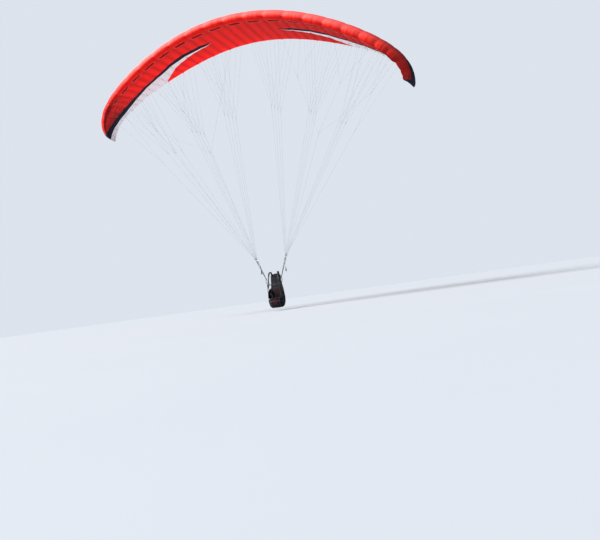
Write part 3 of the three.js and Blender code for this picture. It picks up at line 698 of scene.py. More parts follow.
def pack_cloth(name, tint, panels=(), stitches=(), netting=0.0):
    """Heavy woven nylon. A panel is half a width about the middle, its lowest and highest z and its colour.

    A row of stitches is an axis and a place on it. Netting is half the width of an open mesh lining.
    """
    finish = Finish(name, Roughness=0.8, Specular_IOR_Level=0.12, Sheen_Weight=0.03, Sheen_Roughness=0.4)
    place = finish.place()
    x, y, z = place.split()
    from_middle = abs(x)
    colour = tint
    for half, low, high, panel_tint in panels:
        inside = from_middle.below(half, 0.001) * z.above(low, 0.001)
        colour = finish.blend(inside - inside * z.above(high, 0.001), colour, panel_tint)
    faded = place.noise(5.0, 5.0, 0.6).above(0.58, 0.3)
    colour = finish.blend(faded, colour, finish.tinted(1.0, colour, 1.5, 1.5, 1.55))
    weave = ((x + y) * 4200.0).sine() * ((z + y) * 4200.0).sine()
    colour = finish.blend(weave * 0.25 + 0.25, colour, finish.tinted(1.0, colour, 0.6, 0.6, 0.6))
    height = weave * 0.00012 + place.scaled(1.0, 1.0, 2.2).noise(14.0, 4.0, 0.55) * 0.006
    if netting:
        cell = place.node("TexVoronoi", {"Vector": place, "Scale": 320.0, "Randomness": 0.25}, "Distance")
        hole = cell.below(0.36, 0.16) * from_middle.below(netting, 0.001)
        colour = finish.blend(hole, colour, (0.002, 0.002, 0.003))
        height = height - hole * 0.0007
    for axis, at in stitches:
        across, along = ((from_middle, z), (y, x), (z, x))[axis]
        stitch = abs(across - at).below(0.0007, 0.0003) * along.dashes(210.0, 0.66)
        colour = finish.blend(stitch, colour, (0.11, 0.10, 0.115))
        height = height + stitch * 0.0004
    return finish.finished(colour, height)


# Hard pieces
def shape(piece, kind, chosen, operation, **settings):
    """Selects the faces, edges or points of a piece that pass a test, in edit mode, and runs an operator."""
    pick(piece)
    bpy.ops.object.mode_set(mode="EDIT")
    bpy.ops.mesh.select_mode(type=kind[:-1].upper())
    bpy.ops.mesh.select_all(action="DESELECT")
    work = bmesh.from_edit_mesh(piece.data)
    for element in getattr(work, kind):
        element.select = bool(chosen(element))
    work.select_flush_mode()
    bmesh.update_edit_mesh(piece.data)
    operation(**settings)
    bpy.ops.object.mode_set(mode="OBJECT")


def cut_across(piece, place, normal):
    shape(piece, "faces", lambda face: True, bpy.ops.mesh.bisect, plane_co=place, plane_no=normal)


def pull_apart(piece, axis, reach):
    """Moves the two halves of a ring away from each other along an axis."""
    for sign in (1, -1):
        value = [0.0, 0.0, 0.0]
        value[axis] = sign * reach
        shape(piece, "verts", lambda v: v.co[axis] * sign > 1e-5, bpy.ops.transform.translate, value=value)


def finish_with(piece, kind, **settings):
    """Adds a modifier and applies it."""
    modifier = piece.modifiers.new("finish", kind)
    for key, value in settings.items():
        setattr(modifier, key, value)
    pick(piece)
    bpy.ops.object.modifier_apply(modifier=modifier.name)


def bevelled(piece, width, segments=2, **settings):
    finish_with(piece, "BEVEL", width=width, segments=segments, **settings)
    return piece


def renamed(piece, name):
    piece.name = piece.data.name = name
    return piece


def started(name, operation, **settings):
    bpy.ops.object.select_all(action="DESELECT")
    operation(**settings)
    return renamed(bpy.context.active_object, name)


def cylinder(name, sides, radius, depth, **settings):
    return started(name, bpy.ops.mesh.primitive_cylinder_add, vertices=sides, radius=radius, depth=depth,
                   **settings)


def torus(name, radius, bar, segments, sides, **settings):
    return started(name, bpy.ops.mesh.primitive_torus_add, major_radius=radius, minor_radius=bar,
                   major_segments=segments, minor_segments=sides, **settings)


def block(name, size, place=(0, 0, 0)):
    made = started(name, bpy.ops.mesh.primitive_cube_add, size=1, location=place)
    made.scale = size
    pick(made)
    bpy.ops.object.transform_apply(location=True, rotation=False, scale=True)
    return made


def joined(name, pieces, material=None):
    pick(*pieces)
    if len(pieces) > 1:
        bpy.ops.object.join()
    piece = renamed(bpy.context.active_object, name)
    bpy.ops.object.transform_apply(location=True, rotation=True, scale=True)
    if material:
        piece.data.materials.clear()
        piece.data.materials.append(material)
    bpy.ops.object.shade_smooth_by_angle(angle=math.radians(35))
    return piece


def copy_to(piece, name, axes, place):
    """A copy with its own mesh, turned so that its axes lie along three directions, at a place."""
    made = bpy.data.objects.new(name, piece.data.copy())
    turn = Matrix([Vector(axis) for axis in axes]).transposed().to_4x4()
    made.data.transform(Matrix.Translation(Vector(place)) @ turn)
    bpy.context.scene.collection.objects.link(made)
    return made


def copied(piece, name, material, axes, place):
    """A single finished copy."""
    return joined(name, [copy_to(piece, name, axes, place)], material)


def discard(*pieces):
    for piece in pieces:
        bpy.data.objects.remove(piece)


def quick_link():
    """An oval link of round bar with its nut."""
    radius = LINK["width"] / 2 - LINK["bar"]
    link = torus("link", radius, LINK["bar"], 24, 10)
    pull_apart(link, 1, LINK["height"] / 2 - LINK["width"] / 2)
    nut = cylinder("nut", 6, LINK["bar"] * 1.8, 0.01, location=(radius, 0.001, 0), rotation=LAID_DOWN)
    shape(nut, "faces", lambda f: abs(f.normal.z) > 0.9, bpy.ops.mesh.inset, thickness=0.0008)
    return joined("link", [link, bevelled(nut, 0.0004)])


def ladder_buckle(name, width, height, thickness):
    """A flat buckle: a plate with two slots, its edges rounded."""
    plate = block(name, (width, height, thickness))
    cut_across(plate, (0, 0, 0), (0, 1, 0))
    rim = min(width, height) * 0.13

    def on_face(face):
        return abs(face.normal.z) > 0.9 and abs(face.calc_center_median().y - centre) < 0.1 * height

    def slot(face):
        reach = [max(abs(v.co.x) for v in face.verts), max(abs(v.co.y - centre) for v in face.verts)]
        return on_face(face) and reach[0] < width / 2 - rim * 0.9 and reach[1] < height / 4 - rim * 0.9

    for centre in (-height / 4, height / 4):
        shape(plate, "faces", on_face, bpy.ops.mesh.inset, thickness=rim)
    for centre in (-height / 4, height / 4):
        shape(plate, "faces", slot, bpy.ops.mesh.bridge_edge_loops)
    return bevelled(plate, thickness * 0.22, limit_method="ANGLE")


# Stage
class PARAGLIDER_OT_stage(Operator):
    """Adds the plain floor, the soft light and the camera of the photograph"""
    bl_idname = "paraglider.stage"
    bl_label = "Stage"

    def execute(self, context):
        settings = context.scene.paraglider_stage
        floor = started("floor", bpy.ops.mesh.primitive_circle_add, vertices=96, radius=160, fill_type="NGON",
                        location=(0, 0, CAD_BOX[0][2] - settings.floor_gap))
        paint = Finish("floor_paint", Roughness=0.9)
        shade = paint.blend(paint.place().noise(0.4), (0.27, 0.285, 0.31), (0.26, 0.275, 0.30))
        paint.put("Base Color", shade)
        floor.data.materials.append(paint.material)

        world = bpy.data.worlds.new("backdrop")
        world.use_nodes = True
        background = next(n for n in world.node_tree.nodes if n.type == "BACKGROUND")
        background.inputs[0].default_value = (*settings.sky, 1)
        seen = add_node(world.node_tree, "LightPath", output="Is Camera Ray")
        brightness = seen.node("MapRange", {0: seen, 3: settings.fill, 4: 1.0})
        world.node_tree.links.new(brightness.socket, background.inputs[1])
        context.scene.world = world
        context.scene.view_settings.view_transform = "Standard"

        light = bpy.data.lights.new("sun", "SUN")
        light.energy = settings.sun_strength
        light.angle = settings.sun_angle
        sun = bpy.data.objects.new("sun", light)
        sun.rotation_euler = Vector(settings.sun_from).to_track_quat("Z", "Y").to_euler()
        context.scene.collection.objects.link(sun)

        towards = Vector(settings.camera_towards).normalized()
        level_right = towards.cross(Vector((0, 0, 1))).normalized()
        level_up = level_right.cross(towards)
        right = math.cos(settings.camera_roll) * level_right + math.sin(settings.camera_roll) * level_up
        eye = bpy.data.cameras.new("camera")
        eye.lens = settings.lens
        eye.sensor_width = 36
        eye.clip_end = 500
        camera = bpy.data.objects.new("camera", eye)
        turn = Matrix((right, right.cross(towards), -towards)).transposed().to_4x4()
        camera.matrix_world = Matrix.Translation(settings.camera_at) @ turn
        context.scene.collection.objects.link(camera)
        context.scene.camera = camera
        return {"FINISHED"}


# Canopy
def skin_rows(rows):
    """Signed shares of the chord, from the upper trailing edge round the nose to the lower one."""
    shares = np.linspace(0, 1, rows + 1) ** ROW_POWER
    for lip in (MOUTH["front"], MOUTH["rear"]):
        shares[np.abs(shares - lip).argmin()] = lip
    return np.concatenate([shares[::-1], -shares[1:]])


def cells():
    """Each cell from right to left: its ribs, whether its mouth is open, and its lobe's share."""
    left = [(a, b, i < OPEN_CELLS, 1.0) for i, (a, b) in enumerate(zip(LOADED_RIBS, LOADED_RIBS[1:]))]
    left += [(a, b, False, 0.3) for a, b in zip(TIP_RIBS, TIP_RIBS[1:])]
    right = [(-b, -a, is_open, lobe) for a, b, is_open, lobe in left[::-1]]
    return right + [(-LOADED_RIBS[0], LOADED_RIBS[0], True, 1.0)] + left


def skin_columns(settings):
    """Places along the arc, how far the cloth swells there, and the open part of each chamber there."""
    arcs, swells, opens = [], [], []
    margin, half_mouth = MOUTH["margin"], MOUTH["columns"] // 2
    beside_mouth = margin * np.array([0, 0.3, 0.65])
    for start, end, is_open, lobe in cells():
        middle, half = (start + end) / 2, (end - start) / 2
        mouth = np.linspace(start + margin, end - margin, MOUTH["columns"])
        chambers = (
            (start, middle, np.concatenate([start + beside_mouth, mouth[:half_mouth]])),
            (middle, end, np.concatenate([mouth[half_mouth:], end - beside_mouth[:0:-1]])),
        )
        if lobe < 1:
            chambers = ((start, end, np.linspace(start, end, 9)[:-1]),)
        for a, b, columns in chambers:
            inside = (columns - a) / (b - a)
            swell = lobe * settings.lobe * (1 - np.abs((columns - middle) / half) ** 2.4)
            swell += lobe * settings.chamber * (1 - (2 * inside - 1) ** 2)
            arcs += list(columns)
            swells += list(swell)
            opens += list((columns - middle) / (half - margin)) if is_open else [np.nan] * len(columns)
    opens = np.array(opens + [np.nan])
    opens[np.abs(opens) > 1 + 1e-6] = np.nan
    return np.array(arcs + [HALF_SPAN]), np.array(swells + [0.0]), opens


def creases(arc, signed, swell, settings):
    """Small folds of the loaded cloth: across the nose of each lobe and along the seams."""
    wander = np.sin(7.1 * arc + 1.3) + np.sin(3.7 * arc)
    near_nose = np.exp(-np.abs(signed) / 0.16)
    nose = np.sin(2 * np.pi * arc / 0.135 + 2.1 * wander + 9.0 * signed) * near_nose * 0.0032
    span = np.sin(2 * np.pi * np.abs(signed) * 11 + 1.7 * np.sin(5.3 * arc) + 2.3 * wander)
    span *= np.sin(2.9 * arc + 6 * signed) * 0.0022
    return (nose + span) * np.clip(swell / settings.lobe, 0, 1)


def skin_grid(settings):
    """The skin's columns, their open parts, the signed share of the chord and the place of each point."""
    arcs, swells, opens = skin_columns(settings)
    signed = skin_rows(settings.rows)[None, :]
    arc = arcs[:, None]
    corner = np.where(np.isnan(opens), 0.0, np.nan_to_num(opens) ** 6)[:, None]
    front = 0.011 * corner * np.exp(-(((-signed - MOUTH["front"]) / 0.018) ** 2))
    rear = 0.020 * corner * np.exp(-(((-signed - MOUTH["rear"]) / 0.025) ** 2))
    signed = np.where(signed < 0, signed - front + rear, signed)
    kept = np.where(signed > 0, settings.kept_above, settings.kept_below)
    reach = np.where(signed > 0, NOSE_REACH / 2, NOSE_REACH)
    swell = swells[:, None] * (kept + (1 - kept) * np.exp(-((signed / reach) ** 2)))
    swell = swell * (1 - np.abs(signed) ** 3)
    swell = swell + creases(arc, signed, swell, settings)
    scallop = 1 - 0.0035 * (swells[:, None] / settings.lobe) * np.abs(signed) ** 8
    out = np.clip((np.abs(arc) - TIP_THIN_FROM) / (HALF_SPAN - TIP_THIN_FROM), 0, 1)
    thinning = np.maximum(np.sqrt(1 - out ** 2), TIP_LEAST_THICKNESS)
    return arcs, opens, signed, surface(arc, signed * scallop, swell, thinning)


def build_skin(settings):
    arcs, opens, signed, points = skin_grid(settings)
    columns, rows = signed.shape
    base = skin_rows(settings.rows)
    in_mouth = (base[:-1] <= -MOUTH["front"] + 1e-6) & (base[1:] >= -MOUTH["rear"] - 1e-6)
    is_open = ~np.isnan(opens[:-1] + opens[1:])
    faces = grid_faces(columns, rows, set(zip(*np.nonzero(is_open[:, None] & in_mouth))))
    last = (columns - 1) * rows
    for r in range(rows // 2):
        m = rows - 1 - r
        cap = [r, m, m - 1, r + 1] if m - 1 > r + 1 else [r, m, r + 1]
        faces += [tuple(cap), tuple(last + i for i in cap[:1] + cap[:0:-1])]
    closing = [(here + rows - 1, here, here + rows, here + 2 * rows - 1) for here in range(0, last, rows)]
    mesh = bpy.data.meshes.new("canopy_skin")
    mesh.from_pydata(points.reshape(-1, 3).tolist(), [], faces + closing)
    steps = np.linalg.norm(np.diff(points, axis=1), axis=2)
    lengths = np.concatenate([np.zeros((columns, 1)), np.cumsum(steps, axis=1)], axis=1)
    lengths -= lengths[:, rows // 2:rows // 2 + 1]
    corners = corner_points(mesh)
    share = signed.reshape(-1)[corners]
    share[len(corners) - 4 * len(closing):] = 1.0
    for name, second in (("graphic", share), ("cloth", lengths.reshape(-1)[corners])):
        uv = mesh.uv_layers.new(name=name)
        uv.data.foreach_set("uv", beside(np.repeat(arcs, rows)[corners], second).ravel())
    return mesh, arcs, opens, points


class PARAGLIDER_OT_canopy(Operator):
    """Sews the canopy's skin, its bound mouths and its inner ribs"""
    bl_idname = "paraglider.canopy"
    bl_label = "Canopy"

    def execute(self, context):
        settings = context.scene.paraglider_canopy
        mesh, arcs, opens, points = build_skin(settings)
        canopy_nodes = [name for name in frame["nodes"] if name.startswith("canopy_")]
        if not canopy_nodes:
            raise RuntimeError("the frame holds no canopy")
        skin = placed("canopy_skin", mesh, canopy_cloth(settings))
        dressed(skin, "canopy_cloth", *canopy_nodes, body="wing")
        ribs = inner_ribs(rib_cloth(), arcs, points)
        bindings = mouth_bindings(settings, opens, points)
        # Dark curtains behind the mouths: painted shade inside the cells
        shade_curtains = cell_baffles(arcs, points)
        return {"FINISHED"}


def mouth_bindings(settings, opens, points):
    """Tape sewn round the rim of each mouth. Its pale pink is partly the tape's own colour and partly a
    painted highlight on the lips.
    """
    base = skin_rows(settings.rows)
    front, rear = (int(np.abs(base + MOUTH[lip]).argmin()) for lip in ("front", "rear"))
    making = Making()
    for c in range(1, len(opens)):
        if np.isnan(opens[c - 1]) and not np.isnan(opens[c]):
            end = c + MOUTH["columns"] - 1
            rim = (points[c:end, front], points[end, front:rear], points[end:c:-1, rear],
                   points[c, rear:front:-1])
            making.sweep(np.concatenate(rim), BACKWARDS, ring(0.0045), closed=True)
    tape = webbing("binding_tape", (0.60, 0.20, 0.19), 0.0045, (0.35, 0.06, 0.06))
    return making.piece("mouth_binding", tape, "canopy_cloth", body="wing")


def inner_ribs(cloth, arcs, points):
    """The ribs between the chambers, with three round ports each. Middle ribs stand back from the mouth."""
    middle = points.shape[1] // 2
    levels = np.linspace(0.004, 0.996, 7)
    loaded = sorted({edge for cell in cells() for edge in cell[:2] if abs(edge) < HALF_SPAN - 0.01})
    between = [(a + b) / 2 for a, b, _, lobe in cells() if lobe == 1.0]
    around = [(i, k) for i in (-1, 0, 1) for k in (-1, 0, 1) if i or k]
    making = Making()
    for places, first_row in ((loaded, 2), (between, 24)):
        steps = np.arange(first_row, middle, 3)
        for place in places:
            column = np.abs(arcs - place).argmin()
            upper, lower = points[column, middle - steps], points[column, middle + steps]
            grid = upper[:, None] * (1 - levels[None, :, None]) + lower[:, None] * levels[None, :, None]
            holes = set()
            for share in PORTS["at"]:
                port = int(np.argmax((steps / middle) ** ROW_POWER > share))
                centre = grid[port, 3].copy()
                radius = PORTS["radius"] * np.linalg.norm(upper[port] - lower[port])
                for i, k in around:
                    grid[port + i, 3 + k] = centre + unit(grid[port + i, 3 + k] - centre) * radius
                holes |= {(port + i, 3 + k) for i in (-1, 0) for k in (-1, 0)}
            flat = grid.reshape(-1, 3)
            making.add(flat, grid_faces(len(steps), len(levels), holes), flat[:, 1:])
    piece = making.piece("inner_ribs", cloth, "canopy_cloth", body="wing")
    edited(piece, drop_loose_points)
    return piece


def cell_baffles(arcs, points):
    """A dark curtain across the cells behind their mouths: painted shade in place of the dark inside of the
    open cells.
    """
    middle = points.shape[1] // 2
    step = round(middle * SHADE_CURTAIN_AT ** (1 / ROW_POWER))
    columns = np.nonzero(np.abs(arcs) <= LOADED_RIBS[-1])[0]
    count = 6
    levels = np.linspace(0.01, 0.99, count)[None, :, None]
    upper, lower = (points[columns, middle + way * step][:, None] for way in (-1, 1))
    grid = upper * (1 - levels) + lower * levels
    faces = [(here, here + count, here + count + 1, here + 1)
             for first in range(0, (len(columns) - 1) * count, count)
             for here in range(first, first + count - 1)]
    flat = grid.reshape(-1, 3)
    making = Making()
    making.add(flat, faces, flat[:, [0, 2]])
    cloth = pack_cloth("baffle_cloth", (0.40, 0.022, 0.024))
    return making.piece("cell_baffles", cloth, "canopy_cloth", body="wing")


# Lines
def riser_frame(side):
    foot = np.array([side * CARABINER_X, 0, HANG])
    along = np.array([side * math.sin(RISER_SPLAY), 0, math.cos(RISER_SPLAY)])
    across = np.array([math.cos(RISER_SPLAY), 0, -side * math.sin(RISER_SPLAY)])
    return foot, along, across


def riser_point(side, row, length, y):
    foot, along, across = riser_frame(side)
    return foot + along * length + across * (row - 1.5) * RISER_PITCH + BACKWARDS * y


def riser_y(top_y, length):
    """How far aft a riser lies at a length along it. The four are sewn together low down."""
    return np.interp(length, [0, RISER_SEWN_TO, RISER_LENGTH], [0, top_y / 10, top_y])


def pulley_centre(side):
    top_y = ROWS[3][2]
    lean = math.atan(0.9 * top_y / (RISER_LENGTH - RISER_SEWN_TO))
    reach = RISER_WIDTH / 2 / math.cos(lean) + PULLEY["tab"] + FIT
    return riser_point(side, 3, PULLEY_AT, riser_y(top_y, PULLEY_AT)) + BACKWARDS * reach


def brake_cord_top(side):
    return pulley_centre(side) + BACKWARDS * (PULLEY["radius"] + BRAKE_CORD_RADIUS + FIT)


def sewn_line(making, start, end, radius, sleeves=(True, True)):
    """A line whose ends are folded back and sewn, which shows as a thicker stretch."""
    length = np.linalg.norm(end - start)
    fold = min(SEWN_END["length"], length / 4)
    outer, inner = SEWN_END["sizes"]
    folded = ((0.0, outer), (fold, inner), (fold + SEWN_END["taper"], 1.0))
    head, tail = (folded if sleeve else ((0.0, 1.0),) for sleeve in sleeves)
    ways = [*head, *((share * length, 1.0) for share in (0.3, 0.5, 0.7)),
            *((length - place, size) for place, size in tail[::-1])]
    places, sizes = np.array(ways).T
    path = start + unit(end - start) * places[:, None]
    making.sweep(path, BACKWARDS, ring(radius), sizes=beside(sizes, sizes))


def knot_point(start, ends, share):
    return start + (np.mean(ends, axis=0) - start) * share


def line_tab(making, end, run):
    """A loop of tape under a rib, which holds the end of a line."""
    spread = BACKWARDS * 0.007
    bottom = end - run * TAB_DROP
    path = [end + spread, bottom + spread * 0.5 + run * 0.004, bottom, bottom - spread * 0.5 + run * 0.004,
            end - spread]
    making.sweep(path, np.cross(run, BACKWARDS), flat_section(0.011, 0.0012))


class PARAGLIDER_OT_lines(Operator):
    """Rigs the suspension and brake lines between the risers and the canopy"""
    bl_idname = "paraglider.lines"
    bl_label = "Lines"

    def execute(self, context):
        settings = context.scene.paraglider_rigging
        sheath = braided_line("line_sheath", settings.line_colour)
        tape = webbing("tab_tape", (0.30, 0.03, 0.03), 0.0055)
        tabs = Making()
        link_top = RISER_LENGTH + LINK["height"] - LINK["bite"] - LINK["bar"]
        for side, word in SIDES:
            for index, (row, chord_share, top_y, groups) in enumerate(ROWS):
                making = Making()
                foot = riser_point(side, index, link_top, top_y)
                for g, group in enumerate(groups):
                    ends = [underside(side, rib, chord_share) for rib in group]
                    knot = knot_point(foot, ends, KNOT_SHARE)
                    start = foot + BACKWARDS * (g - (len(groups) - 1) / 2) * LINE_PITCH
                    sewn_line(making, start, knot, settings.main_radius)
                    self.fork(making, tabs, knot, ends, settings.upper_radius)
                making.piece(f"cascade_{row}_{word}", sheath, "line", f"lines_{row}_{word}", body="wing")
            making = Making()
            start = brake_cord_top(side)
            groups = [[underside(side, rib, 1.0) for rib in group] for group in BRAKE_GROUPS]
            knot = knot_point(start, sum(groups, []), BRAKE_KNOT_SHARES[0])
            sewn_line(making, start, knot, settings.main_radius, (False, True))
            for ends in groups:
                upper = knot_point(start, ends, BRAKE_KNOT_SHARES[1])
                sewn_line(making, knot, upper, settings.upper_radius)
                self.fork(making, tabs, upper, ends, settings.upper_radius)
            making.piece(f"cascade_brake_{word}", sheath, "line", f"lines_brake_{word}", body="wing")
        tabs.piece("line_tabs", tape, "webbing", body="wing", sharp=40)
        return {"FINISHED"}

    def fork(self, making, tabs, knot, ends, radius):
        for end in ends:
            run = unit(end - knot)
            sewn_line(making, knot, end - run * (TAB_DROP - 0.002), radius)
            line_tab(tabs, end + run * 0.003, run)


class PARAGLIDER_OT_risers(Operator):
    """Sews the four risers of each side, their loop on the carabiner and their quick links"""
    bl_idname = "paraglider.risers"
    bl_label = "Risers"

    def execute(self, context):
        settings = context.scene.paraglider_rigging
        tape = webbing("riser_webbing", settings.webbing_colour, RISER_WIDTH / 2, (0.05, 0.05, 0.06))
        sleeve_cloth = pack_cloth("sleeve_cloth", (0.016, 0.016, 0.02))
        steel = metal("link_steel", (0.62, 0.63, 0.65))
        link = quick_link()
        for side, word in SIDES:
            foot, along, across = riser_frame(side)
            straps = Making()
            links = []
            for index, (row, _, top_y, _) in enumerate(ROWS):
                self.strap(straps, side, index, top_y)
                place = riser_point(side, index, RISER_LENGTH + LINK["height"] / 2 - LINK["bite"], top_y)
                links.append(copy_to(link, f"link_{row}", (BACKWARDS * side, along, across), place))
            self.loop(straps, foot, along, across)
            nodes = [f"riser_{row[0]}_{word}" for row in ROWS]
            straps.piece(f"riser_set_{word}", tape, "webbing", *nodes, body="wing", sharp=45)
            dressed(joined(f"quick_links_{word}", links, steel), "alloy", body="wing")
            sleeve = Making()
            path = [foot + along * place for place, _, _ in RISER_SLEEVE]
            sleeve.sweep(path, across, squarish(16, 0.6), sizes=[sizes for _, *sizes in RISER_SLEEVE])
            sleeve.piece(f"riser_sleeve_{word}", sleeve_cloth, "webbing", body="wing", sharp=50)
        discard(link)
        return {"FINISHED"}

    def strap(self, making, side, index, top_y):
        """One riser, folded back and sewn round the lower bar of its quick link."""
        bar = RISER_LENGTH - LINK["bite"] + LINK["bar"]
        turn = LINK["bar"] + 0.0013
        ways = [(length, 0.0, 1.0) for length in np.linspace(0.03, bar - 0.05, 12)]
        ways += [(bar - 0.022, -0.0006, 0.85), (bar - 0.008, -turn * 0.8, 0.6), (bar, -turn, 0.56)]
        round_bar = np.radians([30, 60, 90, 120, 150])
        ways += [(bar + turn * math.sin(a), -turn * math.cos(a), 0.55) for a in round_bar]
        ways += [(bar, turn, 0.56), (bar - 0.008, turn * 0.9, 0.6), (bar - 0.022, 0.0021, 0.85),
                 (bar - 0.045, 0.0018, 1.0), (bar - 0.075, 0.0018, 1.0)]
        across = riser_frame(side)[2]
        path = [riser_point(side, index, length, riser_y(top_y, length)) + across * off
                for length, off, _ in ways]
        sizes = [(width, 1.0) for _, _, width in ways]
        making.sweep(path, BACKWARDS, flat_section(RISER_WIDTH, 0.0017), sizes=sizes)

    def loop(self, making, foot, along, across):
        """The doubled loop in which the carabiner's bar sits."""
        half = [(0.0014, 0.062), (0.0016, 0.042), (0.0034, 0.024), (0.0062, 0.009), (0.0066, 0.0),
                (0.0050, -0.0046), (0.0026, -0.0063)]
        ways = half + [(0.0, -0.0067)] + [(-y, length) for y, length in reversed(half)]
        path = [foot + BACKWARDS * y + along * length for y, length in ways]
        making.sweep(path, across, flat_section(0.016, 0.0022))


class PARAGLIDER_OT_brakes(Operator):
    """Makes the brake pulleys, their cords and the two handles"""
    bl_idname = "paraglider.brakes"
    bl_label = "Brakes"

    def execute(self, context):
        rigging = context.scene.paraglider_rigging
        steel = metal("pulley_alloy", (0.55, 0.56, 0.58))
        sheath = braided_line("brake_sheath", (0.36, 0.03, 0.04))
        tape = webbing("handle_webbing", rigging.webbing_colour, 0.009, (0.25, 0.02, 0.03))
        tab_tape = webbing("pulley_tape", rigging.webbing_colour, 0.006)
        pulley = self.pulley()
        for side, word in SIDES:
            _, along, across = riser_frame(side)
            centre = pulley_centre(side)
            wheel = copied(pulley, f"pulley_{word}", steel, (BACKWARDS, along, across), centre)
            dressed(wheel, "alloy", f"brake_pulley_{word}", body="wing")
            tab = Making()
            places = (-PULLEY["tab"] - 0.006, -PULLEY["tab"] + 0.006, -0.006, 0.003)
            tab.sweep([centre + BACKWARDS * y for y in places], along, flat_section(0.012, 0.0016))
            tab.piece(f"pulley_tab_{word}", tab_tape, "webbing", body="wing", sharp=45)

            top = brake_cord_top(side)
            foot = top - UP * TOGGLE_DROP
            cord = Making()
            path = top + (foot - top) * np.linspace(0, 1, 33)[:, None]
            cord.sweep(path, ACROSS, ring(BRAKE_CORD_RADIUS, 8))
            piece = cord.bare(f"brake_line_end_{word}", sheath)
            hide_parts(f"brake_cord_{word}")
            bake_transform(piece)
            handle = self.handle(foot)
            handle.piece(f"brake_handle_{word}", tape, "handle", f"brake_toggle_{word}", body=f"brake_{word}")
        discard(pulley)
        return {"FINISHED"}

    def handle(self, foot):
        """The padded loop of a handle below the end of its cord, and the knot above it."""
        half = np.array([(0.0, -0.010), (0.0085, -0.016), (0.0165, -0.034), (0.0255, -0.062), (0.034, -0.092),
                         (0.0385, -0.108), (0.034, -0.1195), (0.020, -0.1205), (0.0, -0.1205)])
        around = np.concatenate([half, half[1:-1][::-1] * [-1, 1]])
        points = [foot + BACKWARDS * y + UP * z for y, z in around]
        path = smooth_path(points + points[:1], 61)[:-1]
        low = np.clip((foot[2] - path[:, 2] - 0.02) / 0.09, 0, 1)
        handle = Making()
        handle.sweep(path, ACROSS, squarish(14, 0.75) * [0.0088, 0.0072], closed=True,
                     sizes=beside(0.38 + 0.62 * low ** 0.7, 0.34 + 0.66 * low ** 1.5))
        knot = ((0.006, 0.0022), (0.003, 0.0042), (-0.002, 0.005), (-0.008, 0.0044), (-0.013, 0.003))
        handle.sweep([foot + UP * z for z, _ in knot], ACROSS, ring(1, 10), sizes=[(r, r) for _, r in knot])
        return handle

    def pulley(self):
        radius, width = PULLEY["radius"], PULLEY["width"]
        wheel = cylinder("wheel", 28, radius, width * 0.66)
        rim = lambda f: abs(f.normal.z) < 0.5
        groove = lambda f: rim(f) and max(abs(v.co.z) for v in f.verts) < width * 0.26
        shape(wheel, "faces", rim, bpy.ops.mesh.inset, thickness=0.0012)
        shape(wheel, "faces", groove, bpy.ops.transform.resize, value=(0.8, 0.8, 1.0))
        parts = [wheel]
        for sign in (1, -1):
            cheek = cylinder("cheek", 28, radius * 0.86, 0.0012, location=(0, 0, sign * width * 0.42))
            outer = lambda f: f.normal.z * sign > 0.9
            shape(cheek, "faces", outer, bpy.ops.mesh.inset, thickness=0.005)
            hub = lambda f: outer(f) and f.calc_area() < 8e-5
            shape(cheek, "faces", hub, bpy.ops.mesh.extrude_region_move,
                  TRANSFORM_OT_translate={"value": (0, 0, sign * 0.0006)})
            parts.append(bevelled(cheek, 0.0003, limit_method="ANGLE"))
        return joined("pulley", parts)


class PARAGLIDER_OT_carabiners(Operator):
    """Forges the two carabiners with their gates and locking sleeves"""
    bl_idname = "paraglider.carabiners"
    bl_label = "Carabiners"

    def execute(self, context):
        steel = metal("carabiner_alloy", (0.13, 0.135, 0.15))
        radius, gate_x, height = CARABINER["corner"], CARABINER["half_width"], CARABINER["height"]
        body = torus("body", radius, CARABINER["bar"], 40, 16, rotation=LAID_DOWN)
        pick(body)
        bpy.ops.object.transform_apply(location=False, rotation=True, scale=False)
        pull_apart(body, 0, gate_x - radius)
        pull_apart(body, 2, height / 2 - radius)
        sleeve = cylinder("sleeve", 32, 0.0066, 0.034, location=(gate_x, 0, 0.004))
        for z in (0.0135, -0.0135):
            cut_across(sleeve, (gate_x, 0, z + 0.004), (0, 0, 1))
        grips = lambda f: abs(f.normal.z) < 0.5 and abs(f.calc_center_median().z) < 0.01 and f.index % 2
        shape(sleeve, "faces", grips, bpy.ops.mesh.inset, thickness=0.0002, depth=-0.0003,
              use_individual=True)
        pin = cylinder("pin", 16, 0.0022, 0.0122, location=(gate_x, 0, -0.026), rotation=LAID_DOWN)
        collar = cylinder("collar", 24, 0.0057, 0.008, location=(gate_x, 0, 0.026))
        model = joined("carabiner", [body, bevelled(sleeve, 0.0004, 1, limit_method="ANGLE"),
                                     bevelled(pin, 0.0004), bevelled(collar, 0.0008)])
        for side, word in SIDES:
            piece = copied(model, f"carabiner_body_{word}", steel, (ACROSS * side, BACKWARDS * side, UP),
                           (side * CARABINER_X, 0, HANG - height / 2))
            dressed(piece, "alloy", f"carabiner_{word}")
        discard(model)
        return {"FINISHED"}


# Harness
SEAT = {"top": HANG - 0.52, "thickness": 0.03, "half_width": 0.175, "front": -0.245, "back": 0.1395}
BACK = {"foot": 0.146, "lean": 0.2, "thickness": 0.035, "half_width": 0.174, "top": HANG + 0.15,
        "top_share": 0.84}
SIDE_THICKNESS = 0.012
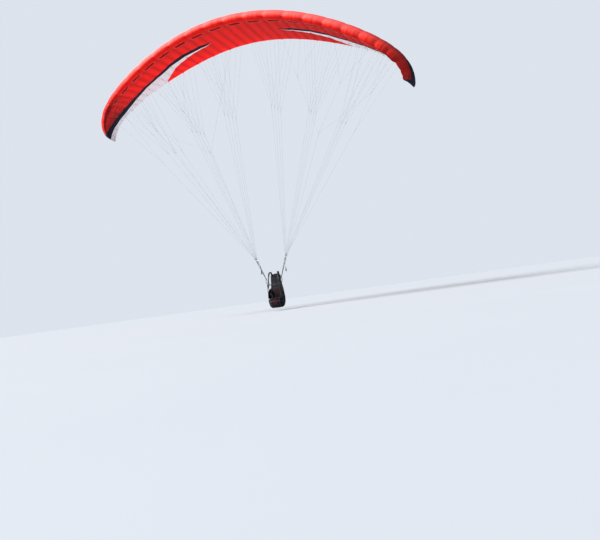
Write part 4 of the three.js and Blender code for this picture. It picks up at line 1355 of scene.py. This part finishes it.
# The protector's levels below the carabiners, with half its width, its front and its back there
PROTECTOR = ((-0.805, 0.140, -0.090, 0.180), (-0.792, 0.172, -0.140, 0.225), (-0.740, 0.202, -0.198, 0.285),
             (-0.650, 0.222, -0.238, 0.340), (-0.560, 0.226, -0.246, 0.366), (-0.440, 0.216, -0.246, 0.378),
             (-0.300, 0.200, -0.200, 0.380), (-0.180, 0.182, -0.100, 0.368), (-0.100, 0.160, 0.000, 0.345),
             (-0.060, 0.132, 0.100, 0.312))
PROTECTOR_TURNS = 64
PROTECTOR_ROUNDNESS = 3.6
PANEL_SEAM_X = 0.122
PANEL_SEAM_Z = HANG - 0.415
LOWER_SEAM_Z = HANG - 0.62
SEAT_SEAM_X = 0.085
SEAT_SEAM_Y = -0.06
BACK_SEAM_X = 0.09
BACK_SEAMS_Z = HANG + np.array([-0.38, -0.24, -0.10, 0.03])
SIDE_SEAM_Z = HANG - 0.453

# The short simulation that swells a cushion
SWELLING_FRAMES = 20
SWELLING = {
    "quality": 4,
    "mass": 0.2,
    "use_pressure": True,
    "vertex_group_mass": "seams",
    "tension_stiffness": 20,
    "compression_stiffness": 8,
    "bending_stiffness": 0.3,
}


def back_face(z):
    return BACK["foot"] + BACK["lean"] * (z - SEAT["top"])


def near(values, place, reach):
    return np.abs(values - place) < reach


def outline_points(corners, count=96):
    """Evenly spaced points of a closed outline whose corners are rounded. A corner is x, y and radius."""
    dense = []
    for i, (x, y, radius) in enumerate(corners):
        here = np.array([x, y])
        before = np.array(corners[i - 1][:2]) - here
        after = np.array(corners[(i + 1) % len(corners)][:2]) - here
        enter, leave = here + unit(before) * radius, here + unit(after) * radius
        t = np.linspace(0, 1, 9)[:, None]
        dense.append((1 - t) ** 2 * enter + 2 * t * (1 - t) * here + t ** 2 * leave)
    dense = np.concatenate(dense + [dense[0][:1]])
    places = np.concatenate([[0], np.cumsum(np.linalg.norm(np.diff(dense, axis=0), axis=1))])
    wanted = np.linspace(0, places[-1], count, endpoint=False)
    return beside(*(np.interp(wanted, places, dense[:, k]) for k in (0, 1)))


def trapezium(low, high, count=96):
    """A rounded outline with equal halves. Each end is half its width, its level and its corners' radius."""
    (a, y, r), (b, z, s) = low, high
    return outline_points([(-a, y, r), (a, y, r), (b, z, s), (-b, z, s)], count)


def cushion_form(name, outline, place, normal, front, rear):
    """A closed crowned form on an outline. place turns outline coordinates into points of its middle."""
    rings = np.linspace(0, 1, 16)[1:] ** 0.8
    centre = outline.mean(axis=0)
    flat = np.concatenate([[centre]] + [centre + (outline - centre) * s for s in rings])
    crown = np.concatenate([[1.0]] + [np.full(len(outline), (1 - s ** 8) ** 0.5) for s in rings])
    middle = place(flat)
    count = len(outline)
    faces = []
    for i in range(count):
        j = (i + 1) % count
        faces.append((0, 1 + i, 1 + j))
        for here in range(1, 1 + (len(rings) - 1) * count, count):
            faces.append((here + i, here + count + i, here + count + j, here + j))
    making = Making()
    making.add(middle + normal * (crown * front)[:, None], faces, flat)
    making.add(middle - normal * (crown * rear)[:, None], [face[::-1] for face in faces], flat)
    form = making.bare(name)
    edited(form, merge_doubles, face_outwards)
    return form


def point_places(mesh):
    places = np.zeros(len(mesh.vertices) * 3)
    mesh.vertices.foreach_get("co", places)
    return places.reshape(-1, 3)


def stuffed(form, held, voxel, pressure, most, material, fill, *nodes):
    finish_with(form, "REMESH", mode="VOXEL", voxel_size=voxel)
    before = point_places(form.data)
    group = form.vertex_groups.new(name="seams")
    group.add([int(i) for i in np.nonzero(held(before))[0]], 1.0, "REPLACE")
    cloth = form.modifiers.new("air", "CLOTH")
    for key, value in SWELLING.items():
        setattr(cloth.settings, key, value)
    cloth.settings.uniform_pressure_force = pressure
    cloth.settings.effector_weights.gravity = 0
    cloth.point_cache.frame_end = SWELLING_FRAMES
    scene = bpy.context.scene
    for step in range(1, SWELLING_FRAMES + 1):
        scene.frame_set(step)
    shown = form.evaluated_get(bpy.context.evaluated_depsgraph_get())
    move = point_places(shown.data) - before
    far = np.linalg.norm(move, axis=1, keepdims=True)
    move *= np.minimum(1, most / np.maximum(far, 1e-9))
    form.modifiers.remove(cloth)
    form.vertex_groups.clear()
    form.data.vertices.foreach_set("co", (before + move).ravel())
    scene.frame_set(1)
    finish_with(form, "SUBSURF", levels=1, render_levels=1)
    form.data.materials.clear()
    form.data.materials.append(material)
    form.data.shade_smooth()
    return dressed(form, "harness_cloth", *nodes)


def piping(name, outlines, radius, material):
    making = Making()
    for path, across in outlines:
        making.sweep(path, across, ring(radius, 8), closed=True)
    making.piece(name, material, "harness_cloth")


class PARAGLIDER_OT_seat(Operator):
    """Sews the seat and the padded back of the harness"""
    bl_idname = "paraglider.seat"
    bl_label = "Seat and back"

    def execute(self, context):
        settings = context.scene.paraglider_harness
        trim = pack_cloth("piping_cloth", settings.trim)
        seat = self.seat(settings)
        back = self.back(settings)
        piping("cushion_piping", (seat, back), 0.003, trim)
        return {"FINISHED"}

    def seat(self, settings):
        """Makes the seat and gives its rim."""
        cover = pack_cloth("seat_cloth", settings.shell, [
            (SEAT_SEAM_X, SEAT["top"] - 1, HANG, settings.lining),
            (0.05, SEAT["top"] - 1, HANG, settings.panel),
        ], [(0, 0.091), (0, 0.055), (1, -0.053), (1, -0.067)], netting=0.083)
        half, front, back = SEAT["half_width"] - 0.002, SEAT["front"] + 0.002, SEAT["back"] - 0.001
        outline = trapezium((half, front, 0.045), (half, back, 0.012))
        level = SEAT["top"] - SEAT["thickness"] / 2
        place = lambda flat: beside(flat[:, 0], flat[:, 1], level)

        def seams(co):
            return (near(co[:, 2], level, 0.004) | near(np.abs(co[:, 0]), SEAT_SEAM_X, 0.005)
                    | near(co[:, 1], SEAT_SEAM_Y, 0.005))

        form = cushion_form("seat_cushion", outline, place, UP, 0.011, 0.011)
        stuffed(form, seams, 0.007, 3.0, 0.007, cover, 0.6, "harness_seat")
        return place(outline), UP

    def back(self, settings):
        """Makes the back and gives its rim."""
        lean = unit(np.array([0, -1.0, BACK["lean"]]))
        foot_z, top_z = SEAT["top"] - SEAT["thickness"] + 0.002, BACK["top"] - 0.002
        wide = BACK["half_width"] - 0.002
        outline = trapezium((wide, foot_z, 0.012), (wide * BACK["top_share"], top_z, 0.07), 120)
        middle = lambda z: back_face(z) + BACK["thickness"] / 2
        place = lambda flat: beside(flat[:, 0], middle(flat[:, 1]), flat[:, 1])
        stitches = [(0, 0.096), (0, 0.055)] + [(2, z + off) for z in BACK_SEAMS_Z for off in (0.007, -0.007)]
        cover = pack_cloth("back_cloth", settings.shell, [
            (BACK_SEAM_X, SEAT["top"] - 1, HANG + 1, settings.lining),
            (0.05, SEAT["top"] - 1, BACK_SEAMS_Z[1], settings.panel),
        ], stitches, netting=0.088)

        def seams(co):
            return (near(co[:, 1], middle(co[:, 2]), 0.004) | near(np.abs(co[:, 0]), BACK_SEAM_X, 0.005)
                    | near(co[:, 2:3], BACK_SEAMS_Z, 0.005).any(axis=1))

        form = cushion_form("back_cushion", outline, place, lean, 0.013, 0.012)
        stuffed(form, seams, 0.008, 3.0, 0.008, cover, 0.55, "harness_back")
        return place(outline), lean


class PARAGLIDER_OT_protector(Operator):
    """Builds the padded body under and behind the seat"""
    bl_idname = "paraglider.protector"
    bl_label = "Protector"

    def execute(self, context):
        settings = context.scene.paraglider_harness
        levels, *columns = np.array(PROTECTOR).T
        steps = np.unique(np.concatenate([levels, np.linspace(levels[0], levels[-1], 40)]))
        half, front, back = (np.interp(steps, levels, column)[:, None] for column in columns)
        turns = 2 * np.pi * (np.arange(PROTECTOR_TURNS) + 0.5) / PROTECTOR_TURNS
        across, ahead = (np.sign(way) * np.abs(way) ** (2 / PROTECTOR_ROUNDNESS)
                         for way in (np.sin(turns), np.cos(turns)))
        inset = 0.006
        points = beside((half - inset) * across, (front + back) / 2 + ((back - front) / 2 - inset) * ahead,
                        HANG + steps[:, None]).reshape(-1, 3)
        size = len(steps), PROTECTOR_TURNS
        making = Making()
        making.add(points, tube_faces(*size) + end_faces(*size), points[:, :2])
        form = making.bare("protector")
        edited(form, face_outwards)
        self.hollow(form)
        stitches = [(axis, at + off) for axis, at in ((0, PANEL_SEAM_X), (2, PANEL_SEAM_Z), (2, LOWER_SEAM_Z))
                    for off in (0.008, -0.008)]
        cloth = pack_cloth("protector_cloth", settings.shell, [
            (1.0, PANEL_SEAM_Z, HANG, settings.lining),
            (PANEL_SEAM_X, PANEL_SEAM_Z, HANG, settings.shell),
            (0.05, HANG - 0.72, PANEL_SEAM_Z, settings.panel),
        ], stitches)

        def seams(co):
            by_the_back = co[:, 1] < back_face(co[:, 2]) + BACK["thickness"] + 0.012
            return (near(np.abs(co[:, 0]), PANEL_SEAM_X, 0.006) | near(co[:, 2], PANEL_SEAM_Z, 0.006)
                    | near(co[:, 2], LOWER_SEAM_Z, 0.006) | by_the_back & (co[:, 2] > SEAT["top"] - 0.03))

        piece = stuffed(form, seams, 0.0095, 2.5, 0.012, cloth, 0.7, "harness_protector")
        self.seam_tapes(piece)
        work = bmesh.new()
        work.from_mesh(piece.data)
        self.cover = BVHTree.FromBMesh(work)
        work.free()
        self.pocket_zip(settings)
        self.reserve_flap(settings)
        self.side_pulls(settings)
        return {"FINISHED"}

    def hollow(self, form):
        """Cuts away the room of the seat and of the back."""
        under = SEAT["top"] - SEAT["thickness"] - 0.006
        rear = lambda z: back_face(z) + BACK["thickness"] + 0.006
        outline = [(-0.6, under), (rear(under), under), (rear(HANG + 0.2), HANG + 0.2), (-0.6, HANG + 0.2)]
        points = np.array([(x, y, z) for x in (-0.5, 0.5) for y, z in outline])
        faces = [(0, 1, 2, 3), (7, 6, 5, 4), (0, 4, 5, 1), (1, 5, 6, 2), (2, 6, 7, 3), (3, 7, 4, 0)]
        cutter = Making()
        cutter.add(points, faces, points[:, :2])
        tool = cutter.bare("room")
        edited(tool, face_outwards)
        finish_with(form, "BOOLEAN", operation="DIFFERENCE", solver="EXACT", object=tool)
        discard(tool)

    def seam_tapes(self, piece):
        """Piping where the panels meet: the piece's own surface cut by the seams' planes."""
        making = Making()
        for point, normal in (((PANEL_SEAM_X, 0, 0), ACROSS), ((-PANEL_SEAM_X, 0, 0), ACROSS),
                              ((0, 0, PANEL_SEAM_Z), UP), ((0, 0, LOWER_SEAM_Z), UP)):
            work = bmesh.new()
            work.from_mesh(piece.data)
            cut = bmesh.ops.bisect_plane(work, geom=work.verts[:] + work.edges[:] + work.faces[:], dist=1e-6,
                                         plane_co=point, plane_no=normal)["geom_cut"]
            for chain in closed_chains(e for e in cut if isinstance(e, bmesh.types.BMEdge)):
                if len(chain) > 20:
                    making.sweep(np.array([v.co for v in chain])[:-1:2], normal, ring(0.0026, 8), closed=True)
            work.free()
        making.piece("protector_piping", pack_cloth("seam_piping", (0.06, 0.06, 0.07)), "harness_cloth")

    def laid(self, points, away, lift):
        """A path pressed onto the protector from outside, and the directions across it."""
        found = []
        for point, out in zip(points, np.broadcast_to(away, (len(points), 3))):
            place, normal, _, _ = self.cover.ray_cast(Vector(point + out), Vector(-out))
            found.append((place + normal * lift, normal))
        path, normals = (np.array(column) for column in zip(*found))
        for _ in range(2):
            path[1:-1] = (path[:-2] + 2 * path[1:-1] + path[2:]) / 4
        return path, unit(np.cross(normals, unit(np.gradient(path, axis=0))))

    def pocket_zip(self, settings):
        """The arched zip of the rear pocket with its slider and pull."""
        arch = trapezium((0.095, LOWER_SEAM_Z, 0.01), (0.08, HANG - 0.27, 0.05), 120)
        turned = np.arctan2(arch[:, 0], HANG - 0.45 - arch[:, 1]) % (2 * np.pi)
        arch = arch[np.argsort(turned)]
        arch = arch[arch[:, 1] > HANG - 0.585]
        tape, teeth = Making(), Making()
        path, across = self.laid(beside(arch[:, 0], 0, arch[:, 1]), BACKWARDS, 0.0012)
        tape.sweep(path, across, flat_section(0.020, 0.0012))
        teeth.sweep(path + np.cross(unit(np.gradient(path, axis=0)), across) * -0.0006, across,
                    flat_section(0.0050, 0.0042))
        slider = path[18] + BACKWARDS * 0.004
        teeth.sweep([slider + UP * 0.008, slider - UP * 0.008], ACROSS, flat_section(0.009, 0.006))
        pull = ((0.007, 0.002), (0.030, 0.003), (0.058, 0.001))
        teeth.sweep([slider - UP * drop + BACKWARDS * y for drop, y in pull], ACROSS,
                    flat_section(0.0045, 0.0022))
        tape.piece("pocket_zip_tape", webbing("zip_tape", settings.shell, 0.010), "harness_cloth", sharp=45)
        teeth.piece("pocket_zip", plastic("zip_plastic", (0.03, 0.03, 0.034)), "harness_cloth", sharp=45)

    def reserve_flap(self, settings):
        """The bound edge of the flap over the reserve, and the three loops that close it."""
        low, high = HANG - 0.735, HANG - 0.585
        corners = ((-0.14, low), (0.17, low), (0.20, high), (-0.17, high))
        flap = outline_points([(y, z, 0.03) for y, z in corners], 90)
        edge = Making()
        path, across = self.laid(beside(0, flap[:, 0], flap[:, 1]), -ACROSS, 0.0016)
        edge.sweep(path, across, flat_section(0.011, 0.003), closed=True)
        for y in (-0.07, 0.02, 0.11):
            drops = np.array([0.577, 0.585, 0.595, 0.605])
            path, across = self.laid(beside(0, y, HANG - drops), -ACROSS, 0.003)
            edge.sweep(path, across, ring(0.0030, 8))
        edge.piece("reserve_flap", pack_cloth("flap_cloth", settings.trim), "harness_cloth", sharp=45)

    def side_pulls(self, settings):
        """The straps that pull the sides in, each with its buckle."""
        strap = webbing("side_webbing", settings.shell, 0.010, (0.11, 0.10, 0.115))
        lock = ladder_buckle("lock", 0.028, 0.022, 0.005)
        pulls = Making()
        locks = []
        angles = np.linspace(-0.2, 0.58, 40)
        for side, _ in SIDES:
            for low, high in ((-0.33, -0.28), (-0.49, -0.45)):
                out = beside(side * np.cos(angles), np.sin(angles), 0)
                path, across = self.laid(beside(0, 0.30, HANG + np.linspace(low, high, 40)), out, 0.0022)
                pulls.sweep(path, across, flat_section(0.020, 0.0018))
                run = unit(path[12] - path[10])
                axes = across[11], run, np.cross(across[11], run)
                locks.append(copy_to(lock, "lock", axes, path[11] + out[11] * 0.002))
        pulls.piece("side_pulls", strap, "webbing", sharp=45)
        dressed(joined("side_locks", locks, plastic("lock_plastic", (0.02, 0.02, 0.022))), "harness_cloth")
        discard(lock)


def closed_chains(edges):
    """The rows of points that edges form, from one edge to the next."""
    left = dict.fromkeys(edges)
    while left:
        edge = next(iter(left))
        chain = [edge.verts[0]]
        while edge is not None:
            del left[edge]
            chain.append(edge.other_vert(chain[-1]))
            edge = next((other for other in chain[-1].link_edges if other in left), None)
        yield chain


class PARAGLIDER_OT_sides(Operator):
    """Adds the side panels, the haul loop at the back and the reserve handle"""
    bl_idname = "paraglider.sides"
    bl_label = "Side panels"

    def execute(self, context):
        settings = context.scene.paraglider_harness
        cloth = pack_cloth("side_cloth", settings.shell, [(1.0, HANG - 0.497, SIDE_SEAM_Z, settings.panel)])
        trim = pack_cloth("side_piping", settings.trim)
        foot = SEAT["top"] - 0.014
        rear = lambda z: back_face(z) + BACK["thickness"] - 0.003
        outline = outline_points([
            (SEAT["front"] + 0.038, foot, 0.02), (rear(foot), foot, 0.008),
            (rear(HANG - 0.24), HANG - 0.24, 0.03), (-0.01, HANG - 0.29, 0.06),
            (-0.165, HANG - 0.37, 0.05), (SEAT["front"] + 0.028, foot + 0.07, 0.03)])
        rims = []
        for side, word in SIDES:
            x = side * (SEAT["half_width"] + FIT + SIDE_THICKNESS / 2)
            place = lambda flat: beside(x, flat[:, 0], flat[:, 1])
            seams = lambda co: near(co[:, 0], x, 0.002) | near(co[:, 2], SIDE_SEAM_Z, 0.004)
            form = cushion_form(f"side_pad_{word}", outline, place, ACROSS, 0.0045, 0.0045)
            stuffed(form, seams, 0.0045, 2.0, 0.0025, cloth, 0.5, f"harness_side_{word}")
            rims.append((place(outline), ACROSS))
        piping("side_rims", rims, 0.0024, trim)

        top = BACK["top"] - 0.012
        half = [(0.05, -0.055), (0.047, -0.02), (0.040, 0.0), (0.022, 0.012)]
        behind = BACK["thickness"] + 0.0012
        ways = [(-x, z) for x, z in half] + half[::-1]
        path = smooth_path([(x, back_face(top + z) + behind, top + z) for x, z in ways], 40)
        haul = Making()
        haul.sweep(path, BACKWARDS, flat_section(0.0022, 0.020)[::-1])
        haul.piece("haul_loop", webbing("haul_webbing", settings.shell, 0.010), "webbing", sharp=45)

        red = webbing("reserve_webbing", settings.handle, 0.009, (0.8, 0.7, 0.7))
        around = trapezium((0.044, -0.0175, 0.014), (0.044, 0.0175, 0.014), 56)
        x = -(SEAT["half_width"] + SIDE_THICKNESS + 0.0066)
        loop = Making()
        loop.sweep(beside(x, around[:, 0], SEAT["top"] + 0.085 + around[:, 1]), ACROSS,
                   squarish(14, 0.7) * [0.0055, 0.0062], closed=True)
        loop.piece("reserve_pull", red, "handle", "reserve_handle")
        return {"FINISHED"}


class PARAGLIDER_OT_straps(Operator):
    """Threads the hang, shoulder, chest and leg straps and their buckles"""
    bl_idname = "paraglider.straps"
    bl_label = "Straps"

    def execute(self, context):
        settings = context.scene.paraglider_harness
        thread = (0.14, 0.135, 0.14)
        main = webbing("main_webbing", settings.shell, 0.021, thread)
        narrow = webbing("narrow_webbing", settings.shell, 0.013, thread)
        padded = pack_cloth("strap_padding", settings.shell)
        black = plastic("buckle_plastic", (0.02, 0.02, 0.022))
        steel = metal("buckle_steel", (0.14, 0.14, 0.15))
        buckle = ladder_buckle("buckle", 0.058, 0.034, 0.0055)
        adjuster = ladder_buckle("adjuster", 0.036, 0.030, 0.0055)
        for side, word in SIDES:
            self.hang(side, word, main)
            self.shoulder(side, word, padded, narrow, adjuster, black)
            self.leg(side, word, padded, buckle, steel)
        self.chest(narrow, black)
        discard(buckle, adjuster)
        return {"FINISHED"}

    def hang(self, side, word, tape):
        """The two straps from the seat up to a loop on the carabiner."""
        hang = Making()
        x = side * (SEAT["half_width"] + FIT + SIDE_THICKNESS + 0.0032)
        bar = np.array([side * CARABINER_X, 0, HANG - CARABINER["height"]])
        for y in (-0.15, 0.125):
            foot = np.array([x, y, SEAT["top"] + 0.01])
            knee = np.array([x, y * 0.88, SEAT["top"] + 0.08])
            path = smooth_path([bar - UP * 0.016, bar + (knee - bar) * 0.5, knee, foot], 22)
            wide = np.interp(np.linspace(0, 1, 22), [0, 0.12, 1], [0.55, 1, 1])
            hang.sweep(path, BACKWARDS, flat_section(0.042, 0.0028), sizes=beside(wide, 1))
        turn = np.linspace(-0.12, 1.12, 15) * math.pi
        ways = [(0.0066, -0.026), *zip(0.0078 * np.cos(turn), 0.0078 * np.sin(turn)), (-0.0066, -0.026)]
        hang.sweep([bar + BACKWARDS * y + UP * z for y, z in ways], ACROSS, flat_section(0.018, 0.0026))
        hang.piece(f"main_strap_{word}", tape, "webbing", f"hang_strap_{word}", sharp=45)

    def shoulder(self, side, word, padded, tape, adjuster, black):
        """A padded shoulder strap, the tape along it and its buckle with a loose end."""
        top_y = back_face(HANG + 0.096) - 0.005
        points = [(0.100, top_y, 0.096), (0.104, top_y - 0.026, 0.165), (0.112, 0.150, 0.212),
                  (0.126, 0.030, 0.172), (0.140, -0.050, 0.040), (0.154, -0.062, -0.090),
                  (0.1726, -0.060, -0.240)]
        path = smooth_path([(side * x, y, HANG + z) for x, y, z in points], 48)
        along, ways = np.linspace(0, 1, 48), [0, 0.06, 0.55, 0.68, 1]
        wide = np.interp(along, ways, [0.8, 1.0, 1.0, 0.6, 0.56])
        thick = np.interp(along, ways, [0.6, 1.0, 1.0, 0.32, 0.3])
        strap = Making()
        strap.sweep(path, ACROSS, padded_section(0.046, 0.009), sizes=beside(wide, thick))
        self.pad(strap, f"shoulder_pad_{word}", padded, f"shoulder_strap_{word}")
        out = unit(np.cross(unit(np.gradient(path, axis=0)), ACROSS))
        webbed = Making()
        webbed.sweep(path[2:47] + out[2:47] * (0.0045 * thick[2:47, None] + 0.0008), ACROSS,
                     flat_section(0.022, 0.0014))
        run = unit(path[34] - path[32])
        out_of = out[33] if out[33][1] < 0 else -out[33]
        ways = ((0, 0.006), (0.03, 0.012), (0.09, 0.009), (0.15, 0.010))
        tail = smooth_path([path[33] - UP * drop + out_of * away for drop, away in ways], 14)
        webbed.sweep(tail, ACROSS, flat_section(0.022, 0.0014))
        webbed.piece(f"shoulder_tape_{word}", tape, "webbing", sharp=45)
        piece = copied(adjuster, f"shoulder_buckle_{word}", black, (ACROSS, -run, np.cross(ACROSS, -run)),
                       path[33] + out_of * 0.0055)
        dressed(piece, "webbing")

    def pad(self, making, name, material, replaced):
        making.piece(name, material, "harness_cloth", replaced, sharp=60)

    def leg(self, side, word, padded, buckle, steel):
        """A padded leg strap with its buckle."""
        front = SEAT["front"] - 0.0044
        points = [(0.046, front, -0.534), (0.052, front - 0.002, -0.47), (0.084, -0.222, -0.408),
                  (0.126, -0.170, -0.390), (0.170, -0.164, -0.414)]
        path = smooth_path([(side * x, y, HANG + z) for x, y, z in points], 30)
        turning = np.linspace(0, 1, 30)[:, None]
        across = ACROSS * (1 - turning) + BACKWARDS * turning
        leg = Making()
        leg.sweep(path, across, padded_section(0.044, 0.007))
        self.pad(leg, f"leg_pad_{word}", padded, f"leg_strap_{word}")
        run = unit(path[17] - path[15])
        side_way = unit(across[16] - run * (across[16] @ run))
        face = np.cross(side_way, run)
        piece = copied(buckle, f"leg_buckle_{word}", steel, (side_way, run, face),
                       path[16] + face * side * 0.0062)
        dressed(piece, "alloy")

    def chest(self, tape, black):
        """The chest strap with its closed side-release buckle and its loose end."""
        reach, level = CARABINER_X - 0.006, HANG - 0.15
        strap = Making()
        for side, _ in SIDES:
            strap.sweep([(side * x, 0.0, level) for x in (reach, reach * 0.7, reach * 0.4, 0.024)], UP,
                        flat_section(0.025, 0.0022))
        tail = [(0.05, -0.0024, 0), (0.09, -0.0026, -0.001), (0.13, -0.0028, 0), (0.15, -0.003, -0.001)]
        strap.sweep(smooth_path([(x, y, level + z) for x, y, z in tail], 10), UP, flat_section(0.025, 0.0018))
        body = block("buckle_body", (0.062, 0.0115, 0.038), (0, 0, level))
        for x in (-0.006, 0.012):
            cut_across(body, (x, 0, 0), (1, 0, 0))
        middle = lambda f: abs(f.calc_center_median().x - 0.003) < 0.004
        shape(body, "faces", lambda f: abs(f.normal.x) > 0.9, bpy.ops.transform.resize, value=(1, 0.55, 0.82))
        shape(body, "faces", lambda f: abs(f.normal.y) > 0.9 and middle(f), bpy.ops.mesh.inset,
              thickness=0.003, depth=-0.0018)
        shape(body, "faces", lambda f: abs(f.normal.z) > 0.9 and middle(f), bpy.ops.mesh.inset,
              thickness=0.0015, depth=0.0012)
        bevelled(body, 0.0022, 3, limit_method="ANGLE")
        dressed(joined("chest_buckle", [body], black), "webbing")
        keeper = ladder_buckle("chest_keeper", 0.034, 0.022, 0.005)
        slider = copied(keeper, "chest_slider", black, (UP, ACROSS, BACKWARDS), (0.112, -0.0012, level))
        dressed(slider, "webbing")
        discard(keeper)
        strap.piece("chest_webbing", tape, "webbing", "chest_strap", sharp=45)


def padded_section(width, thickness):
    """Cross-section of a padded strap: crowned faces and thin bound edges."""
    places = np.array([-1, -0.93, -0.82, -0.5, 0, 0.5, 0.82, 0.93, 1])
    height = np.array([0.22, 0.28, 0.7, 0.94, 1.0, 0.94, 0.7, 0.28, 0.22])
    top = beside(places[::-1] * width / 2, height * thickness / 2)
    return np.concatenate([top, top[::-1] * [1, -1]])


class PARAGLIDER_PT_panel(Panel):
    """Lists the pieces of the paraglider and their settings"""
    bl_label = "Paraglider"
    bl_idname = "PARAGLIDER_PT_panel"
    bl_space_type = "VIEW_3D"
    bl_region_type = "UI"
    bl_category = "Paraglider"

    def draw(self, context):
        for group in SETTINGS:
            settings = getattr(context.scene, group)
            box = self.layout.box()
            for name in settings.bl_rna.properties.keys():
                if name not in ("rna_type", "name"):
                    box.prop(settings, name)
        for operator in OPERATORS:
            self.layout.operator(operator.bl_idname)


SETTINGS = {
    "paraglider_stage": StageSettings,
    "paraglider_canopy": CanopySettings,
    "paraglider_rigging": RiggingSettings,
    "paraglider_harness": HarnessSettings,
}
OPERATORS = (
    PARAGLIDER_OT_stage,
    PARAGLIDER_OT_canopy,
    PARAGLIDER_OT_lines,
    PARAGLIDER_OT_risers,
    PARAGLIDER_OT_brakes,
    PARAGLIDER_OT_carabiners,
    PARAGLIDER_OT_seat,
    PARAGLIDER_OT_protector,
    PARAGLIDER_OT_sides,
    PARAGLIDER_OT_straps,
)


def register():
    for made in (*SETTINGS.values(), *OPERATORS, PARAGLIDER_PT_panel):
        bpy.utils.register_class(made)
    for name, group in SETTINGS.items():
        setattr(bpy.types.Scene, name, PointerProperty(type=group))


def unregister():
    for name in SETTINGS:
        delattr(bpy.types.Scene, name)
    for made in reversed((*SETTINGS.values(), *OPERATORS, PARAGLIDER_PT_panel)):
        bpy.utils.unregister_class(made)


def main():
    register()
    for operator in OPERATORS:
        group, name = operator.bl_idname.split(".")
        getattr(getattr(bpy.ops, group), name)()
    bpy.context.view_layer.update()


if __name__ == "__main__":
    main()
